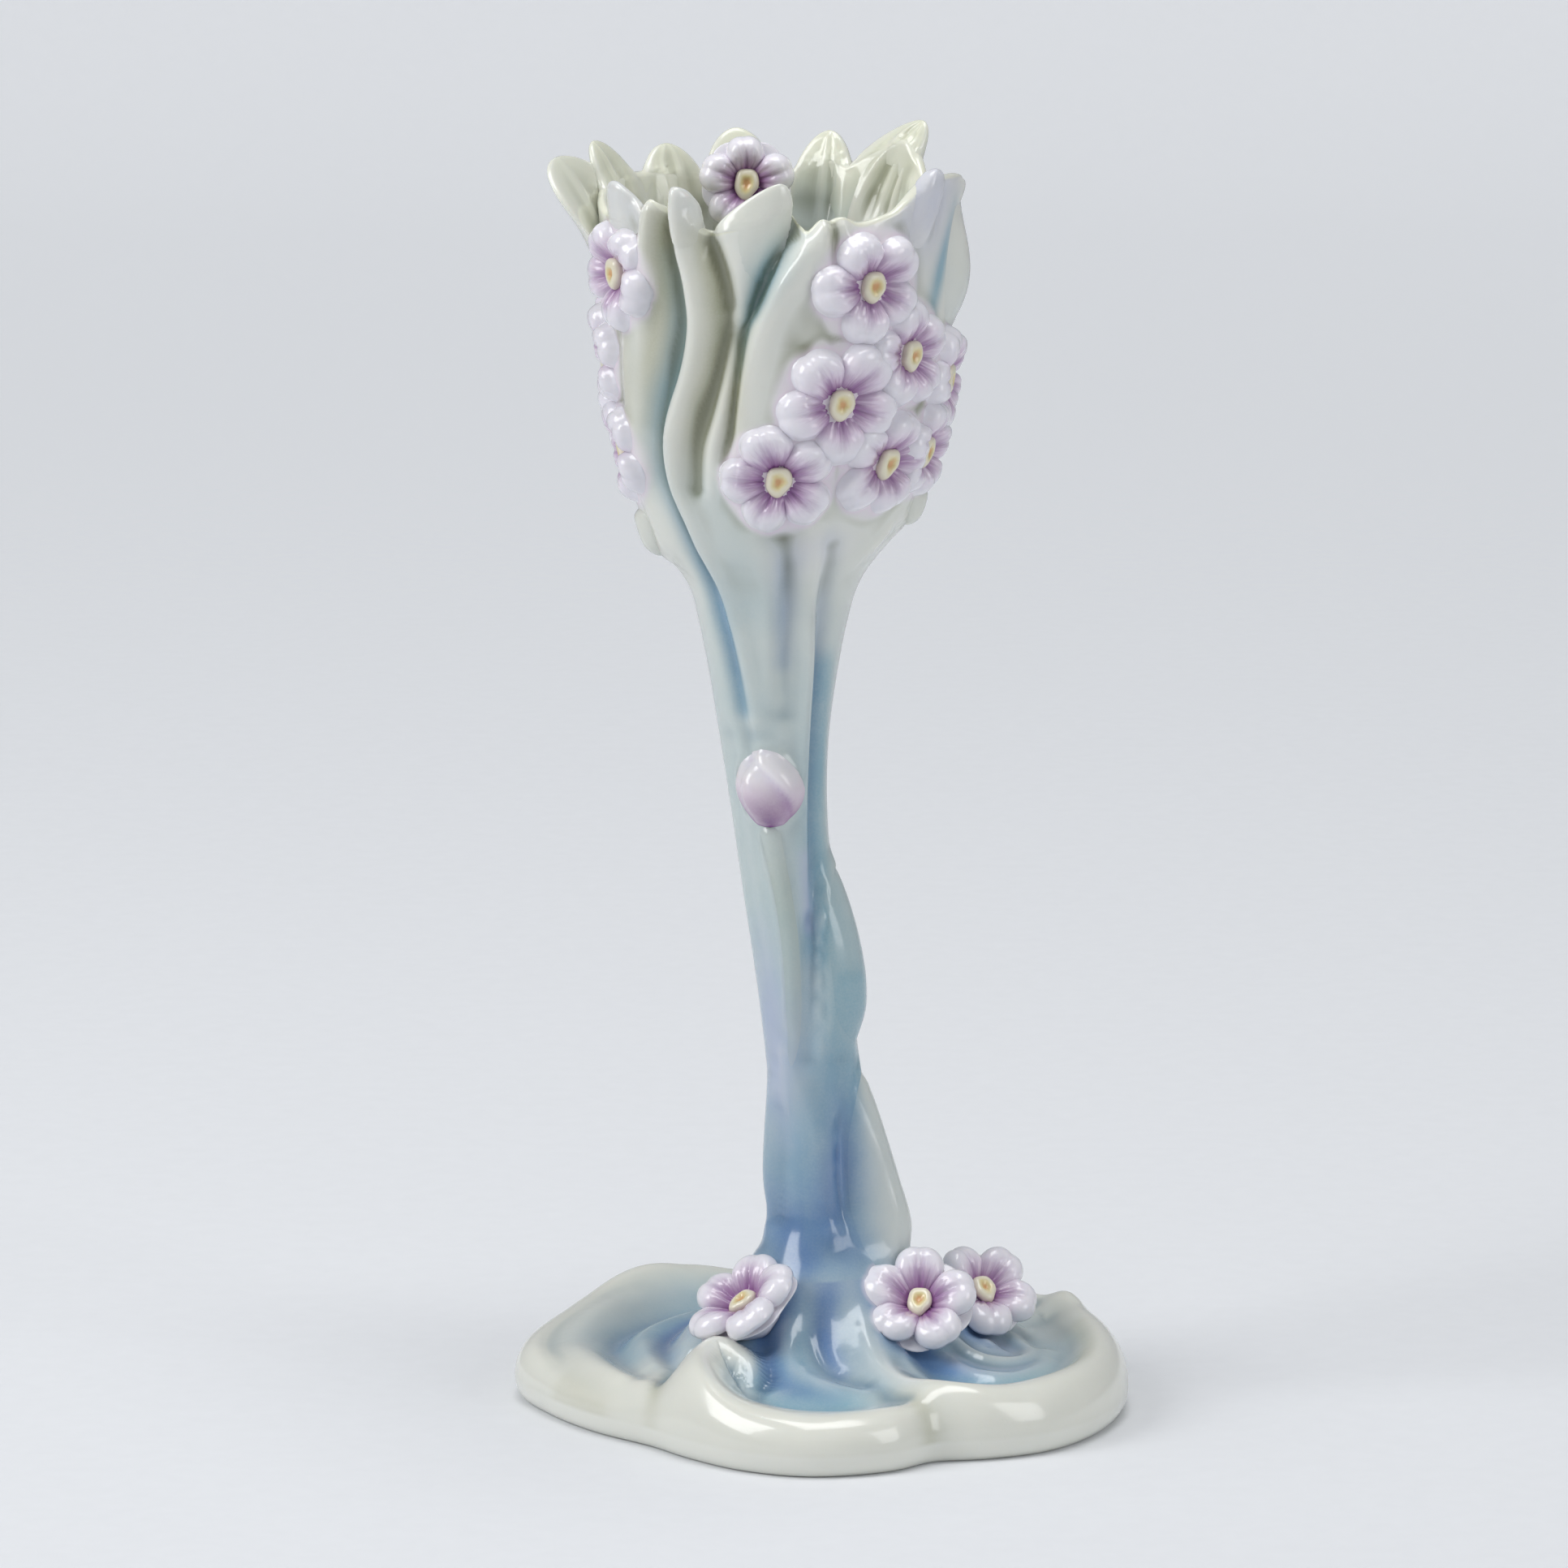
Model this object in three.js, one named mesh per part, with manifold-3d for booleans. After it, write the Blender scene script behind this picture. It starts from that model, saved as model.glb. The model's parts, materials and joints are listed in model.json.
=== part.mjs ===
// Porcelain candle holder: a tulip cup of leaves on a leaning stem and a lobed base of curling waves,
// with applied primroses, a bud and trailing leaves.
// Millimetres, +Z up, front towards -Y. The origin is on the table, under the middle of the base.
// Azimuth is in degrees about the axis: 0 at the front, 90 to the right (+X).
import * as THREE from 'three';
import { mergeVertices } from 'three/addons/utils/BufferGeometryUtils.js';
import Module from 'manifold-3d';

const wasm = await Module();
wasm.setup();

// Driving dimensions
const LUTING_GAP = 0.3; // between any two pieces that are stuck together
const BASE_RADIUS = 52; // widest lobe of the base
const BASE_RIM_HEIGHT = 10.5; // rounded rim of the base, mean height
const BASE_FLOOR_HEIGHT = 8; // hollows inside the rim
const BASE_EQUATOR_HEIGHT = 4.2; // where the rim is widest
const RIM_ROUNDING = 5; // how far in the rim rolls over
const FOOT_ROUNDING = 2.4; // how far in the lower edge rolls under
const RIM_FALL = 6.5; // how quickly the rim drops to the hollows inside it
const MOUND_FALL = 8; // how quickly the mound round the stem runs out
const JOINT_FADE = 6; // relief fades out this close to the joint of base and stem
const FOOT_RING_WIDTH = 7;
const FOOT_RECESS_DEPTH = 1.8;
const STEM_FOOT_HEIGHT = 24; // joint of base and stem
const STEM_LENGTH = 114; // to the joint of stem and cup
const STEM_RADIUS = 7.8; // slimmest stretch
const FOOT_RADIUS = 13; // stem and base at their joint
const NECK_RADIUS = 13.1; // stem and cup at their joint
const STEM_LEAN = -8.1; // how far the stem's top stands to the left
const TENON_RADIUS = 4.5;
const TENON_LENGTH = 6;
const CUP_HEIGHT = 68; // from its joint to the mean rim
const CUP_RADIUS = 29.9; // at the mean rim
const CUP_FLOOR_RISE = 20; // inner floor above the cup's joint
const CUP_FLOOR_RADIUS = 19.5; // takes a 38 mm tealight
const CUP_WALL = 3.2;
const RIM_WALL = 1.8;
const LEAF_THICKNESS = 2.4;
const PETAL_THICKNESS = 2.9; // crown of a petal above the wall
const CENTRE_RADIUS = 2.2; // rolled flower centre
const CENTRE_HEIGHT = 1.7;
const CENTRE_SEAT = 1.1; // height of the flat in the corolla that the centre is stuck to
const BACK_SHARE = 0.55; // width of the boss behind a corolla, as a share of its own
const FREE_EDGE = 0.3; // how far a free petal's rim reaches back from the flower's plane
const BUD_LENGTH = 13.5;
const BUD_WIDTH = 11;
const BUD_RISE = 5; // how far the bud stands off the stem
const STALK_RADIUS = 1.6;
const ROOT_SPREAD = 9; // how far the root leaf runs out from the stem's foot

// Facets: how finely each kind of piece is divided
const BASE_SIDES = 56;
const STEM_SIDES = 24;
const CUP_SIDES = 52;
const LEAF_SIDES = 8;
const BLADE_STATIONS = [0, 0.15, 0.32, 0.5, 0.66, 0.8, 0.91, 0.985]; // along a leaf, closer at its tip
const PETALS = 5;
const FACETS_PER_PETAL = 4;

// Finishes of the glazed pieces
const finish = (color) => new THREE.MeshStandardMaterial({ color, roughness: 0.2, metalness: 0 });
const ivory = finish('#d9dac6');
const paleBlue = finish('#a9bfc8');
const lilac = finish('#d9cfe2');
const paleYellow = finish('#e9dfae');

const candleHolder = new THREE.Group();
const CUP_FOOT_HEIGHT = STEM_FOOT_HEIGHT + STEM_LENGTH;
const radians = THREE.MathUtils.degToRad;
const lerp = THREE.MathUtils.lerp;
const clamp = THREE.MathUtils.clamp;

// Smooth curve through stations [position, value]
function along(stations, position) {
  const last = stations.length - 1;
  const x = clamp(position, stations[0][0], stations[last][0]);
  let i = 0;
  while (i < last - 1 && x > stations[i + 1][0]) i += 1;
  const slope = (k) => {
    const before = stations[Math.max(k - 1, 0)];
    const after = stations[Math.min(k + 1, last)];
    return (after[1] - before[1]) / (after[0] - before[0]);
  };
  const [x0, y0] = stations[i];
  const [x1, y1] = stations[i + 1];
  const span = x1 - x0;
  const k = (x - x0) / span;
  const hermite = y0 * (2 * k ** 3 - 3 * k ** 2 + 1) + y1 * (3 * k ** 2 - 2 * k ** 3);
  return hermite + slope(i) * span * (k ** 3 - 2 * k ** 2 + k) + slope(i + 1) * span * (k ** 3 - k ** 2);
}

// The same for a closed curve, with stations in degrees
function around(stations, azimuth) {
  const [first, last] = [stations[0], stations[stations.length - 1]];
  const closed = [[last[0] - 360, last[1]], ...stations, [first[0] + 360, first[1]]];
  const start = first[0];
  const turned = start + THREE.MathUtils.euclideanModulo(azimuth - start, 360);
  return along(closed, turned);
}

// Relief of modelled strokes at the point (u, v): a stroke is a line of [u, v, half-width, height],
// and scaleU turns its u into millimetres
function relief(strokes, u, v, scaleU, scaleV, wrap) {
  let sum = 0;
  for (const line of strokes) {
    const origin = line[0][0];
    let du = u - origin;
    if (wrap) du = THREE.MathUtils.euclideanModulo(du + 180, 360) - 180;
    const [px, py] = [du * scaleU, v * scaleV];
    let nearest = Infinity;
    let height = 0;
    for (let i = 0; i + 1 < line.length; i += 1) {
      const [a, b] = [line[i], line[i + 1]];
      const [ax, ay] = [(a[0] - origin) * scaleU, a[1] * scaleV];
      const [bx, by] = [(b[0] - origin) * scaleU, b[1] * scaleV];
      const [dx, dy] = [bx - ax, by - ay];
      const k = clamp(((px - ax) * dx + (py - ay) * dy) / (dx * dx + dy * dy), 0, 1);
      const distance = Math.hypot(px - ax - k * dx, py - ay - k * dy) / lerp(a[2], b[2], k);
      if (distance < nearest) {
        nearest = distance;
        height = lerp(a[3], b[3], k);
      }
    }
    sum += height * Math.exp(-nearest * nearest);
  }
  return sum;
}

// Closed solid through rings of points, all with the same count, capped at both ends
function ringSolid(rings) {
  const sides = rings[0].length;
  const points = rings.flat();
  const middle = (ring) => ring.reduce((sum, p) => sum.add(p), new THREE.Vector3()).divideScalar(sides);
  const bottom = points.push(middle(rings[0])) - 1;
  const top = points.push(middle(rings[rings.length - 1])) - 1;
  const faces = [];
  for (let i = 0; i < sides; i += 1) {
    const j = (i + 1) % sides;
    const upper = (rings.length - 1) * sides;
    faces.push(bottom, j, i, top, upper + i, upper + j);
    for (let r = 0; r + 1 < rings.length; r += 1) {
      const [a, b] = [r * sides + i, r * sides + j];
      faces.push(a, b, b + sides, a, b + sides, a + sides);
    }
  }
  const geometry = new THREE.BufferGeometry();
  geometry.setAttribute('position', new THREE.Float32BufferAttribute(points.flatMap((p) => p.toArray()), 3));
  geometry.setIndex(faces);
  return toSolid(geometry);
}

function toSolid(geometry) {
  geometry.deleteAttribute('normal');
  geometry.deleteAttribute('uv');
  const merged = mergeVertices(geometry, 1e-5);
  const vertProperties = new Float32Array(merged.attributes.position.array);
  const index = merged.index.array;
  let volume = 0;
  const point = (i) => new THREE.Vector3().fromArray(vertProperties, index[i] * 3);
  for (let i = 0; i < index.length; i += 3) {
    volume += point(i).dot(point(i + 1).cross(point(i + 2)));
  }
  const triVerts = new Uint32Array(index);
  if (volume < 0) triVerts.reverse();
  return new wasm.Manifold(new wasm.Mesh({ numProp: 3, vertProperties, triVerts }));
}

// Adds a solid to the model as a named mesh; cutting may leave crumbs, so the largest body is kept
function addPiece(name, solid, material) {
  const bodies = solid.decompose().sort((a, b) => b.volume() - a.volume());
  const mesh = bodies[0].getMesh();
  const geometry = new THREE.BufferGeometry();
  geometry.setAttribute('position', new THREE.Float32BufferAttribute(mesh.vertProperties, 3));
  geometry.setIndex([...mesh.triVerts]);
  geometry.computeVertexNormals();
  const piece = new THREE.Mesh(geometry, material);
  piece.name = name;
  candleHolder.add(piece);
  return bodies[0];
}

const upright = (radius, low, high, x = 0, sides = 20) => {
  const geometry = new THREE.CylinderGeometry(radius, radius, high - low, sides);
  geometry.rotateX(Math.PI / 2);
  geometry.translate(x, 0, (low + high) / 2);
  return toSolid(geometry);
};

const ringOf = (sides, pointAt) => Array.from({ length: sides }, (_, i) => pointAt((i * 360) / sides));
const steps = (count) => Array.from({ length: count + 1 }, (_, i) => i / count);

// Base: the plan outline is a share of the radius, the rim height is in millimetres above the mean
const BASE_OUTLINE = [
  [-165, 0.98], [-138, 1.03], [-118, 1.005], [-95, 1.01], [-80, 0.93], [-64, 0.865], [-45, 0.82], [-30, 0.87],
  [-15, 0.945], [-2, 0.98], [14, 0.94], [25, 0.875], [36, 0.93], [50, 0.995], [75, 1.01], [105, 1], [120, 1],
  [138, 0.94], [155, 0.97],
];
const BASE_RIM_RISE = [
  [-150, 3.5], [-125, 1.5], [-95, -0.8], [-60, -1.5], [-32, 0.5], [0, -1], [20, -0.5], [50, 0.7], [80, 1],
  [110, 2], [135, 1.8], [152, 4.5], [180, 2.5],
];
// Waves of the base as strokes [x, y, half-width, height], in millimetres on a 52 mm base
const WAVES = [
  [[-20, 38, 3, -1], [-38, 28, 3, -1.6], [-46, 8, 3, -1.6], [-43, -8, 3, -1.4], [-35, -21, 2, -1]],
  [[-14, 28, 3, -1.2], [-29, 22, 3, -1.8], [-35, 8, 3, -1.8], [-34, -6, 3, -1.6], [-30, -18, 2, -1]],
  [[-12, 18, 3, -1], [-22, 14, 2.8, -1.5], [-27, 3, 2.8, -1.6], [-27, -10, 2.5, -1.2]],
  [[-16, 34, 3, 0.8], [-33, 26, 3, 1.2], [-41, 8, 3, 1.4], [-39, -7, 3, 1.2], [-32, -20, 2.5, 0.8]],
  [[-13, 22, 3, 0.8], [-25, 18, 2.8, 1.2], [-31, 5, 2.8, 1.2], [-30, -10, 2.5, 1]],
  [[-17, -4, 2.5, -1], [-22, -14, 2.5, -2.5], [-26, -23, 2.2, -2.8], [-30, -31, 2, -2.2], [-32, -36, 2, -1.5]],
  [[-12, -10, 4, 5], [-17, -18, 4.5, 4.5], [-21, -27, 4.5, 3], [-20, -36, 4.5, 1.5], [-13, -43, 4, 0.8]],
  [[-7, 10, 4, -1], [-7, -6, 4.5, -2.2], [-8, -17, 5, -2.8], [-3, -27, 5.5, -2.5], [7, -33, 5, -1.8]],
  [[1, 12, 3, 1], [0, -6, 3, 1.5], [1, -18, 3, 1.2], [9, -26, 3, 0.8]],
  [[8, -10, 3.5, 1], [12, -20, 4, 2.2], [18, -30, 4.5, 2.2], [27, -36, 4, 1]],
  [[20, -44, 2.5, -1.8], [15, -38, 2.5, -1.8], [9, -32, 2.5, -1]],
  [[17, 0, 3.5, -1], [20, -10, 4, -1.8], [29, -14, 4, -1.8], [38, -8, 4, -1.6], [41, 6, 4, -1.2]],
  [[22, 4, 2, 1], [29, -3, 2, 1.4], [36, 3, 2, 1.2], [36, 11, 2, 0.8]],
  [[12, -4, 6, 3], [20, 4, 7, 5], [28, 9, 6, 4.5]],
  [[-13, -10, 5, 2.5], [-18, -6, 5, 2]],
  [[44, 24, 4, 2], [46, 30, 3, 1.5]],
];
const WAVES_DRAWN_RADIUS = 52;

const outlineRadius = (azimuth) => BASE_RADIUS * around(BASE_OUTLINE, azimuth);

function baseSurface(azimuth, radius) {
  const [x, y] = [radius * Math.sin(radians(azimuth)), -radius * Math.cos(radians(azimuth))];
  const inset = outlineRadius(azimuth) - radius;
  const rim = BASE_RIM_HEIGHT + around(BASE_RIM_RISE, azimuth);
  const roll = Math.exp(-(((inset - RIM_ROUNDING) / RIM_FALL) ** 2));
  const beyondFoot = Math.max(radius - FOOT_RADIUS, 0);
  const mound = (STEM_FOOT_HEIGHT - BASE_FLOOR_HEIGHT) * Math.exp(-beyondFoot / MOUND_FALL);
  const drawn = WAVES_DRAWN_RADIUS / BASE_RADIUS;
  const fade = clamp((radius - FOOT_RADIUS) / JOINT_FADE, 0, 1);
  const waves = fade * relief(WAVES, x * drawn, y * drawn, 1, 1, false);
  const rimShare = inset < RIM_ROUNDING ? 1 : roll;
  const height = BASE_FLOOR_HEIGHT + (rim - BASE_FLOOR_HEIGHT) * rimShare + mound + waves;
  const edge = clamp(inset / RIM_ROUNDING, 0, 1);
  return BASE_EQUATOR_HEIGHT + (height - BASE_EQUATOR_HEIGHT) * Math.sqrt(1 - (1 - edge) ** 2);
}

const polar = (azimuth, radius, z, x = 0) => {
  const turn = radians(azimuth);
  return new THREE.Vector3(x + radius * Math.sin(turn), -radius * Math.cos(turn), z);
};

function buildBase(grow = 0) {
  const rings = [];
  const underside = (inset, z) => {
    rings.push(ringOf(BASE_SIDES, (azimuth) => polar(azimuth, outlineRadius(azimuth) - inset, z)));
  };
  underside(FOOT_ROUNDING + FOOT_RING_WIDTH + 1, FOOT_RECESS_DEPTH);
  underside(FOOT_ROUNDING + FOOT_RING_WIDTH, 0);
  underside(FOOT_ROUNDING, 0);
  underside(FOOT_ROUNDING / 4, BASE_EQUATOR_HEIGHT * 0.35);
  for (const inset of [0, 0.12, 0.4, 1]) {
    rings.push(ringOf(BASE_SIDES, (azimuth) => {
      const radius = outlineRadius(azimuth) - inset * RIM_ROUNDING;
      return polar(azimuth, radius, baseSurface(azimuth, radius) + grow);
    }));
  }
  for (const share of steps(8).slice(1)) {
    rings.push(ringOf(BASE_SIDES, (azimuth) => {
      const radius = lerp(outlineRadius(azimuth) - RIM_ROUNDING, FOOT_RADIUS, share ** 0.9);
      const z = share === 1 ? STEM_FOOT_HEIGHT : baseSurface(azimuth, radius);
      return polar(azimuth, radius, z + grow);
    }));
  }
  if (grow > 0) return ringSolid(rings);
  const socketFloor = STEM_FOOT_HEIGHT - TENON_LENGTH - LUTING_GAP;
  const socket = upright(TENON_RADIUS + LUTING_GAP, socketFloor, STEM_FOOT_HEIGHT + 1);
  return ringSolid(rings).subtract(socket);
}

// Stem: t runs from 0 at its foot to 1 at its neck
const LEAN_CURVE = [
  [-0.2, 0], [0, 0], [0.1, 0.01], [0.2, 0.06], [0.3, 0.17], [0.4, 0.33], [0.5, 0.53], [0.6, 0.74], [0.7, 0.89],
  [0.8, 0.98], [0.9, 1], [1, 1], [1.1, 0.95], [1.25, 0.88], [1.6, 0.92], [1.8, 0.95],
];
const axisX = (z) => STEM_LEAN * along(LEAN_CURVE, (z - STEM_FOOT_HEIGHT) / STEM_LENGTH);

// Strokes on the stem: [azimuth, t, half-width, height]
const STEM_FLOW = [
  [[40, 1, 1.6, 1.2], [34, 0.95, 1.6, 1.6], [36, 0.86, 1.6, 1.4], [38, 0.72, 1.6, 1], [30, 0.62, 1.8, 0.8]],
  [[56, 0.98, 2, -1], [55, 0.82, 2, -1.4], [46, 0.7, 2, -1.4], [38, 0.6, 2, -1.4], [22, 0.5, 2, -1.2],
    [5, 0.4, 2, -0.8]],
  [[-42, 1, 2, -1.4], [-38, 0.92, 2, -1.4], [-32, 0.84, 2, -1.2], [-28, 0.78, 1.6, -0.8]],
  [[-26, 1, 2, 0.9], [-22, 0.92, 2, 1], [-20, 0.84, 2, 0.9]],
  [[10, 1, 1.8, -0.9], [14, 0.93, 1.8, -0.8], [18, 0.86, 1.8, -0.4]],
  [[-70, 0.3, 4, 0], [-78, 0.2, 4, 1.4], [-84, 0.13, 4, 1.8], [-80, 0.07, 3, 0.8]],
  [[-30, 0.3, 2.5, 0.8], [-8, 0.22, 3, 1.2], [12, 0.14, 3, 1], [20, 0.06, 3, 0.8]],
  [[30, 0.3, 3, -0.6], [26, 0.2, 3, -1.3], [18, 0.12, 3, -1.5], [-4, 0.05, 3, -1]],
  [[150, 0.95, 2.5, 1], [165, 0.8, 2.5, 1.2], [180, 0.6, 2.5, 1], [195, 0.4, 2.5, 1], [200, 0.2, 2.5, 0.8]],
  [[120, 0.95, 2, -0.9], [135, 0.75, 2, -1], [150, 0.5, 2, -1], [165, 0.3, 2, -0.8]],
];

function stemRadius(azimuth, z, grow = 0) {
  const t = (z - STEM_FOOT_HEIGHT) / STEM_LENGTH;
  const foot = (FOOT_RADIUS - STEM_RADIUS) * clamp(1 - t / 0.11, 0, 1) ** 2;
  const neck = (NECK_RADIUS - STEM_RADIUS) * clamp((t - 0.58) / 0.42, 0, 1) ** 2.1;
  const smooth = STEM_RADIUS + foot + neck;
  const fade = clamp(t / 0.04, 0, 1) * clamp((1 - t) / 0.04, 0, 1);
  const flow = fade * relief(STEM_FLOW, azimuth, t, radians(smooth), STEM_LENGTH, true);
  return smooth + flow + grow;
}

function buildStem(grow = 0) {
  const [low, high] = [STEM_FOOT_HEIGHT + LUTING_GAP, CUP_FOOT_HEIGHT - LUTING_GAP];
  const rings = [0, 0.012, 0.03, 0.055, ...steps(20).map((s) => lerp(0.09, 1, s))].map((t) => {
    const z = lerp(low, high, t);
    return ringOf(STEM_SIDES, (azimuth) => polar(azimuth, stemRadius(azimuth, z, grow), z, axisX(z)));
  });
  const body = ringSolid(rings);
  if (grow > 0) return body;
  const root = 2; // how far the tenons run into the stem
  const tenonEnd = low - TENON_LENGTH + LUTING_GAP;
  const footTenon = upright(TENON_RADIUS, tenonEnd, low + root, axisX(STEM_FOOT_HEIGHT));
  const neckTenon = upright(TENON_RADIUS, high - root, high + TENON_LENGTH, axisX(CUP_FOOT_HEIGHT));
  return body.add(footTenon).add(neckTenon);
}

// Cup: t runs from 0 at its joint to 1 at the mean rim
const BOWL_CURVE = [
  [0, 0], [0.03, 0.035], [0.074, 0.11], [0.118, 0.22], [0.176, 0.37], [0.25, 0.506], [0.324, 0.613],
  [0.412, 0.72], [0.5, 0.8], [0.618, 0.863], [0.765, 0.91], [0.912, 0.958], [1, 1], [1.18, 1.1],
];
// Height of the wall's edge between the leaves, in millimetres above the mean rim
const RIM_WAVE = [
  [-165, 1.5], [-155, 0.5], [-125, 1.5], [-92, 3], [-70, 1], [-48, 0], [-38, 0], [-31, 2], [-22, -3], [-10, 0],
  [2, 3], [8, -0.5], [20, 1], [40, 1.5], [60, 2.5], [80, 1], [100, 1], [120, 2], [134, 5], [148, 3], [162, 4],
  [175, 0.5],
];
// Relief of the leaves on the cup: [azimuth, t, half-width, height]
const LEAF_FOLDS = [
  [[-42, 1, 2.2, 1.6], [-43, 0.91, 2.4, 1.8], [-46, 0.79, 2.6, 1.8], [-50, 0.66, 2.8, 1.8], [-55, 0.52, 3, 1.6],
    [-57, 0.4, 3, 1.2], [-55, 0.25, 3, 0.8]],
  [[-37, 1, 1.8, -1.6], [-37, 0.88, 2, -2], [-38, 0.78, 2.2, -2], [-44, 0.64, 2.6, -2], [-50, 0.5, 3, -2],
    [-49, 0.38, 3, -1.9], [-46, 0.2, 2.4, -1.8], [-42, 0.02, 2, -1.4]],
  [[-31, 1.05, 2, 2], [-30, 0.94, 2.2, 2.1], [-28.5, 0.86, 2.4, 2], [-29, 0.76, 2.6, 1.9],
    [-34, 0.64, 2.8, 1.8], [-39, 0.52, 3, 1.7], [-40, 0.42, 3, 1.6], [-38, 0.3, 3, 1.4],
    [-33, 0.16, 2.6, 1.2], [-27, 0.02, 2.2, 0.9]],
  [[-24, 0.97, 1.6, -1.4], [-22, 0.86, 1.8, -1.5], [-22, 0.76, 2, -1.4], [-26, 0.64, 2.2, -1.2],
    [-27, 0.46, 2.4, -1]],
  [[-20, 0.98, 2, 1], [-16, 0.86, 2.4, 1.6], [-15, 0.76, 3, 1.4], [-18, 0.62, 3.4, 1.2], [-20, 0.48, 3.4, 0.8]],
  [[-6, 1.05, 6, -1.8], [-7, 0.92, 5, -2.2], [-8.5, 0.82, 3, -2.4], [-10, 0.73, 1.8, -2], [-12, 0.63, 1.6, -1.5],
    [-15.5, 0.48, 1.8, -1.2], [-20, 0.34, 2, -0.8]],
  [[9, 1, 2.4, 1.6], [4, 0.9, 2.6, 1.8], [-1, 0.79, 2.8, 1.8], [-5, 0.68, 3, 1.5], [-8, 0.55, 3.2, 1],
    [-11, 0.4, 3, 0.8]],
  [[13, 0.98, 1.4, 0.8], [13, 0.88, 1.4, 0.8], [11, 0.76, 1.4, 0.5]],
  [[26, 0.84, 9, 0.9], [38, 0.7, 9, 1], [28, 0.52, 10, 1.2], [12, 0.36, 8, 1]],
  [[62, 0.7, 10, 0.4], [62, 0.5, 10, 0.2], [58, 0.34, 8, 0.6]],
  [[-76, 0.84, 8, 0.6], [-88, 0.6, 9, -0.4], [-86, 0.4, 8, 0.2], [-90, 0.28, 6, 0.8]],
  [[2, 0.24, 2, -0.8], [10, 0.12, 2, -1.2], [14, 0.02, 1.8, -1]],
  [[22, 0.24, 2.4, 0.7], [30, 0.1, 2.2, 1], [38, 0.02, 2, 1]],
  [[110, 1, 2.5, 1.6], [112, 0.8, 2.8, 1.8], [118, 0.6, 3, 1.7], [116, 0.4, 3, 1.3], [120, 0.2, 2.6, 1]],
  [[124, 1, 2, -1.6], [126, 0.8, 2.2, -1.8], [130, 0.6, 2.4, -1.8], [128, 0.4, 2.4, -1.6], [130, 0.1, 2, -1.2]],
  [[140, 1, 2.6, 1.6], [140, 0.8, 3, 1.8], [142, 0.6, 3, 1.6], [140, 0.4, 3, 1.2], [142, 0.2, 2.6, 1]],
  [[155, 1, 2, -1.6], [156, 0.75, 2.2, -1.8], [152, 0.5, 2.4, -1.6], [154, 0.2, 2, -1.2]],
  [[172, 1, 3, 1.6], [170, 0.8, 3.4, 1.8], [168, 0.6, 3.2, 1.6], [166, 0.4, 3, 1.2], [168, 0.2, 2.6, 1]],
  [[190, 1, 2, -1.6], [186, 0.8, 2.2, -1.8], [182, 0.6, 2.4, -1.7], [180, 0.4, 2.4, -1.5], [182, 0.1, 2, -1.2]],
  [[206, 1, 2.8, 1.6], [203, 0.8, 3, 1.8], [200, 0.6, 3, 1.7], [196, 0.4, 3, 1.3], [196, 0.2, 2.6, 1]],
  [[222, 1, 2, -1.6], [219, 0.8, 2.2, -1.8], [217, 0.6, 2.4, -1.7], [212, 0.35, 2.4, -1.5], [210, 0.1, 2, -1.2]],
  [[238, 1, 2.6, 1.5], [236, 0.8, 2.8, 1.7], [234, 0.6, 2.8, 1.5], [228, 0.4, 2.6, 1.2]],
];

const bowlRadius = (t) => NECK_RADIUS + (CUP_RADIUS - NECK_RADIUS) * along(BOWL_CURVE, t);

function cupRadius(azimuth, z) {
  const t = (z - CUP_FOOT_HEIGHT) / CUP_HEIGHT;
  const smooth = bowlRadius(t);
  const fade = clamp(t / 0.04, 0, 1);
  return smooth + fade * relief(LEAF_FOLDS, azimuth, t, radians(smooth), CUP_HEIGHT, true);
}

const wallAt = (z) => lerp(CUP_WALL, RIM_WALL, clamp((z - CUP_FOOT_HEIGHT) / CUP_HEIGHT - 0.6, 0, 0.4) / 0.4);
const rimHeight = (azimuth) => CUP_FOOT_HEIGHT + CUP_HEIGHT + around(RIM_WAVE, azimuth);

function buildCup(grow = 0) {
  const low = CUP_FOOT_HEIGHT - grow;
  const floor = CUP_FOOT_HEIGHT + CUP_FLOOR_RISE + grow;
  const outer = [0, 0.05, 0.1, 0.16, ...steps(11).map((s) => lerp(0.22, 1, s))];
  const rings = outer.map((share) => ringOf(CUP_SIDES, (azimuth) => {
    const z = lerp(low, rimHeight(azimuth) + grow, share);
    return polar(azimuth, cupRadius(azimuth, z) + grow, z, axisX(z));
  }));
  for (const share of steps(6).reverse()) {
    rings.push(ringOf(CUP_SIDES, (azimuth) => {
      const z = lerp(floor, rimHeight(azimuth) + grow, share);
      const t = (z - CUP_FOOT_HEIGHT) / CUP_HEIGHT;
      const hollow = bowlRadius(t) - wallAt(z) - grow;
      const swell = share * (cupRadius(azimuth, z) - bowlRadius(t));
      const radius = share === 0 ? Math.min(CUP_FLOOR_RADIUS, hollow) - grow : hollow + swell;
      return polar(azimuth, radius, z, axisX(z));
    }));
  }
  const body = ringSolid(rings);
  if (grow > 0) return body;
  const top = CUP_FOOT_HEIGHT + TENON_LENGTH + LUTING_GAP;
  const socket = upright(TENON_RADIUS + LUTING_GAP, CUP_FOOT_HEIGHT - 1, top, axisX(CUP_FOOT_HEIGHT));
  return body.subtract(socket);
}

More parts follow.
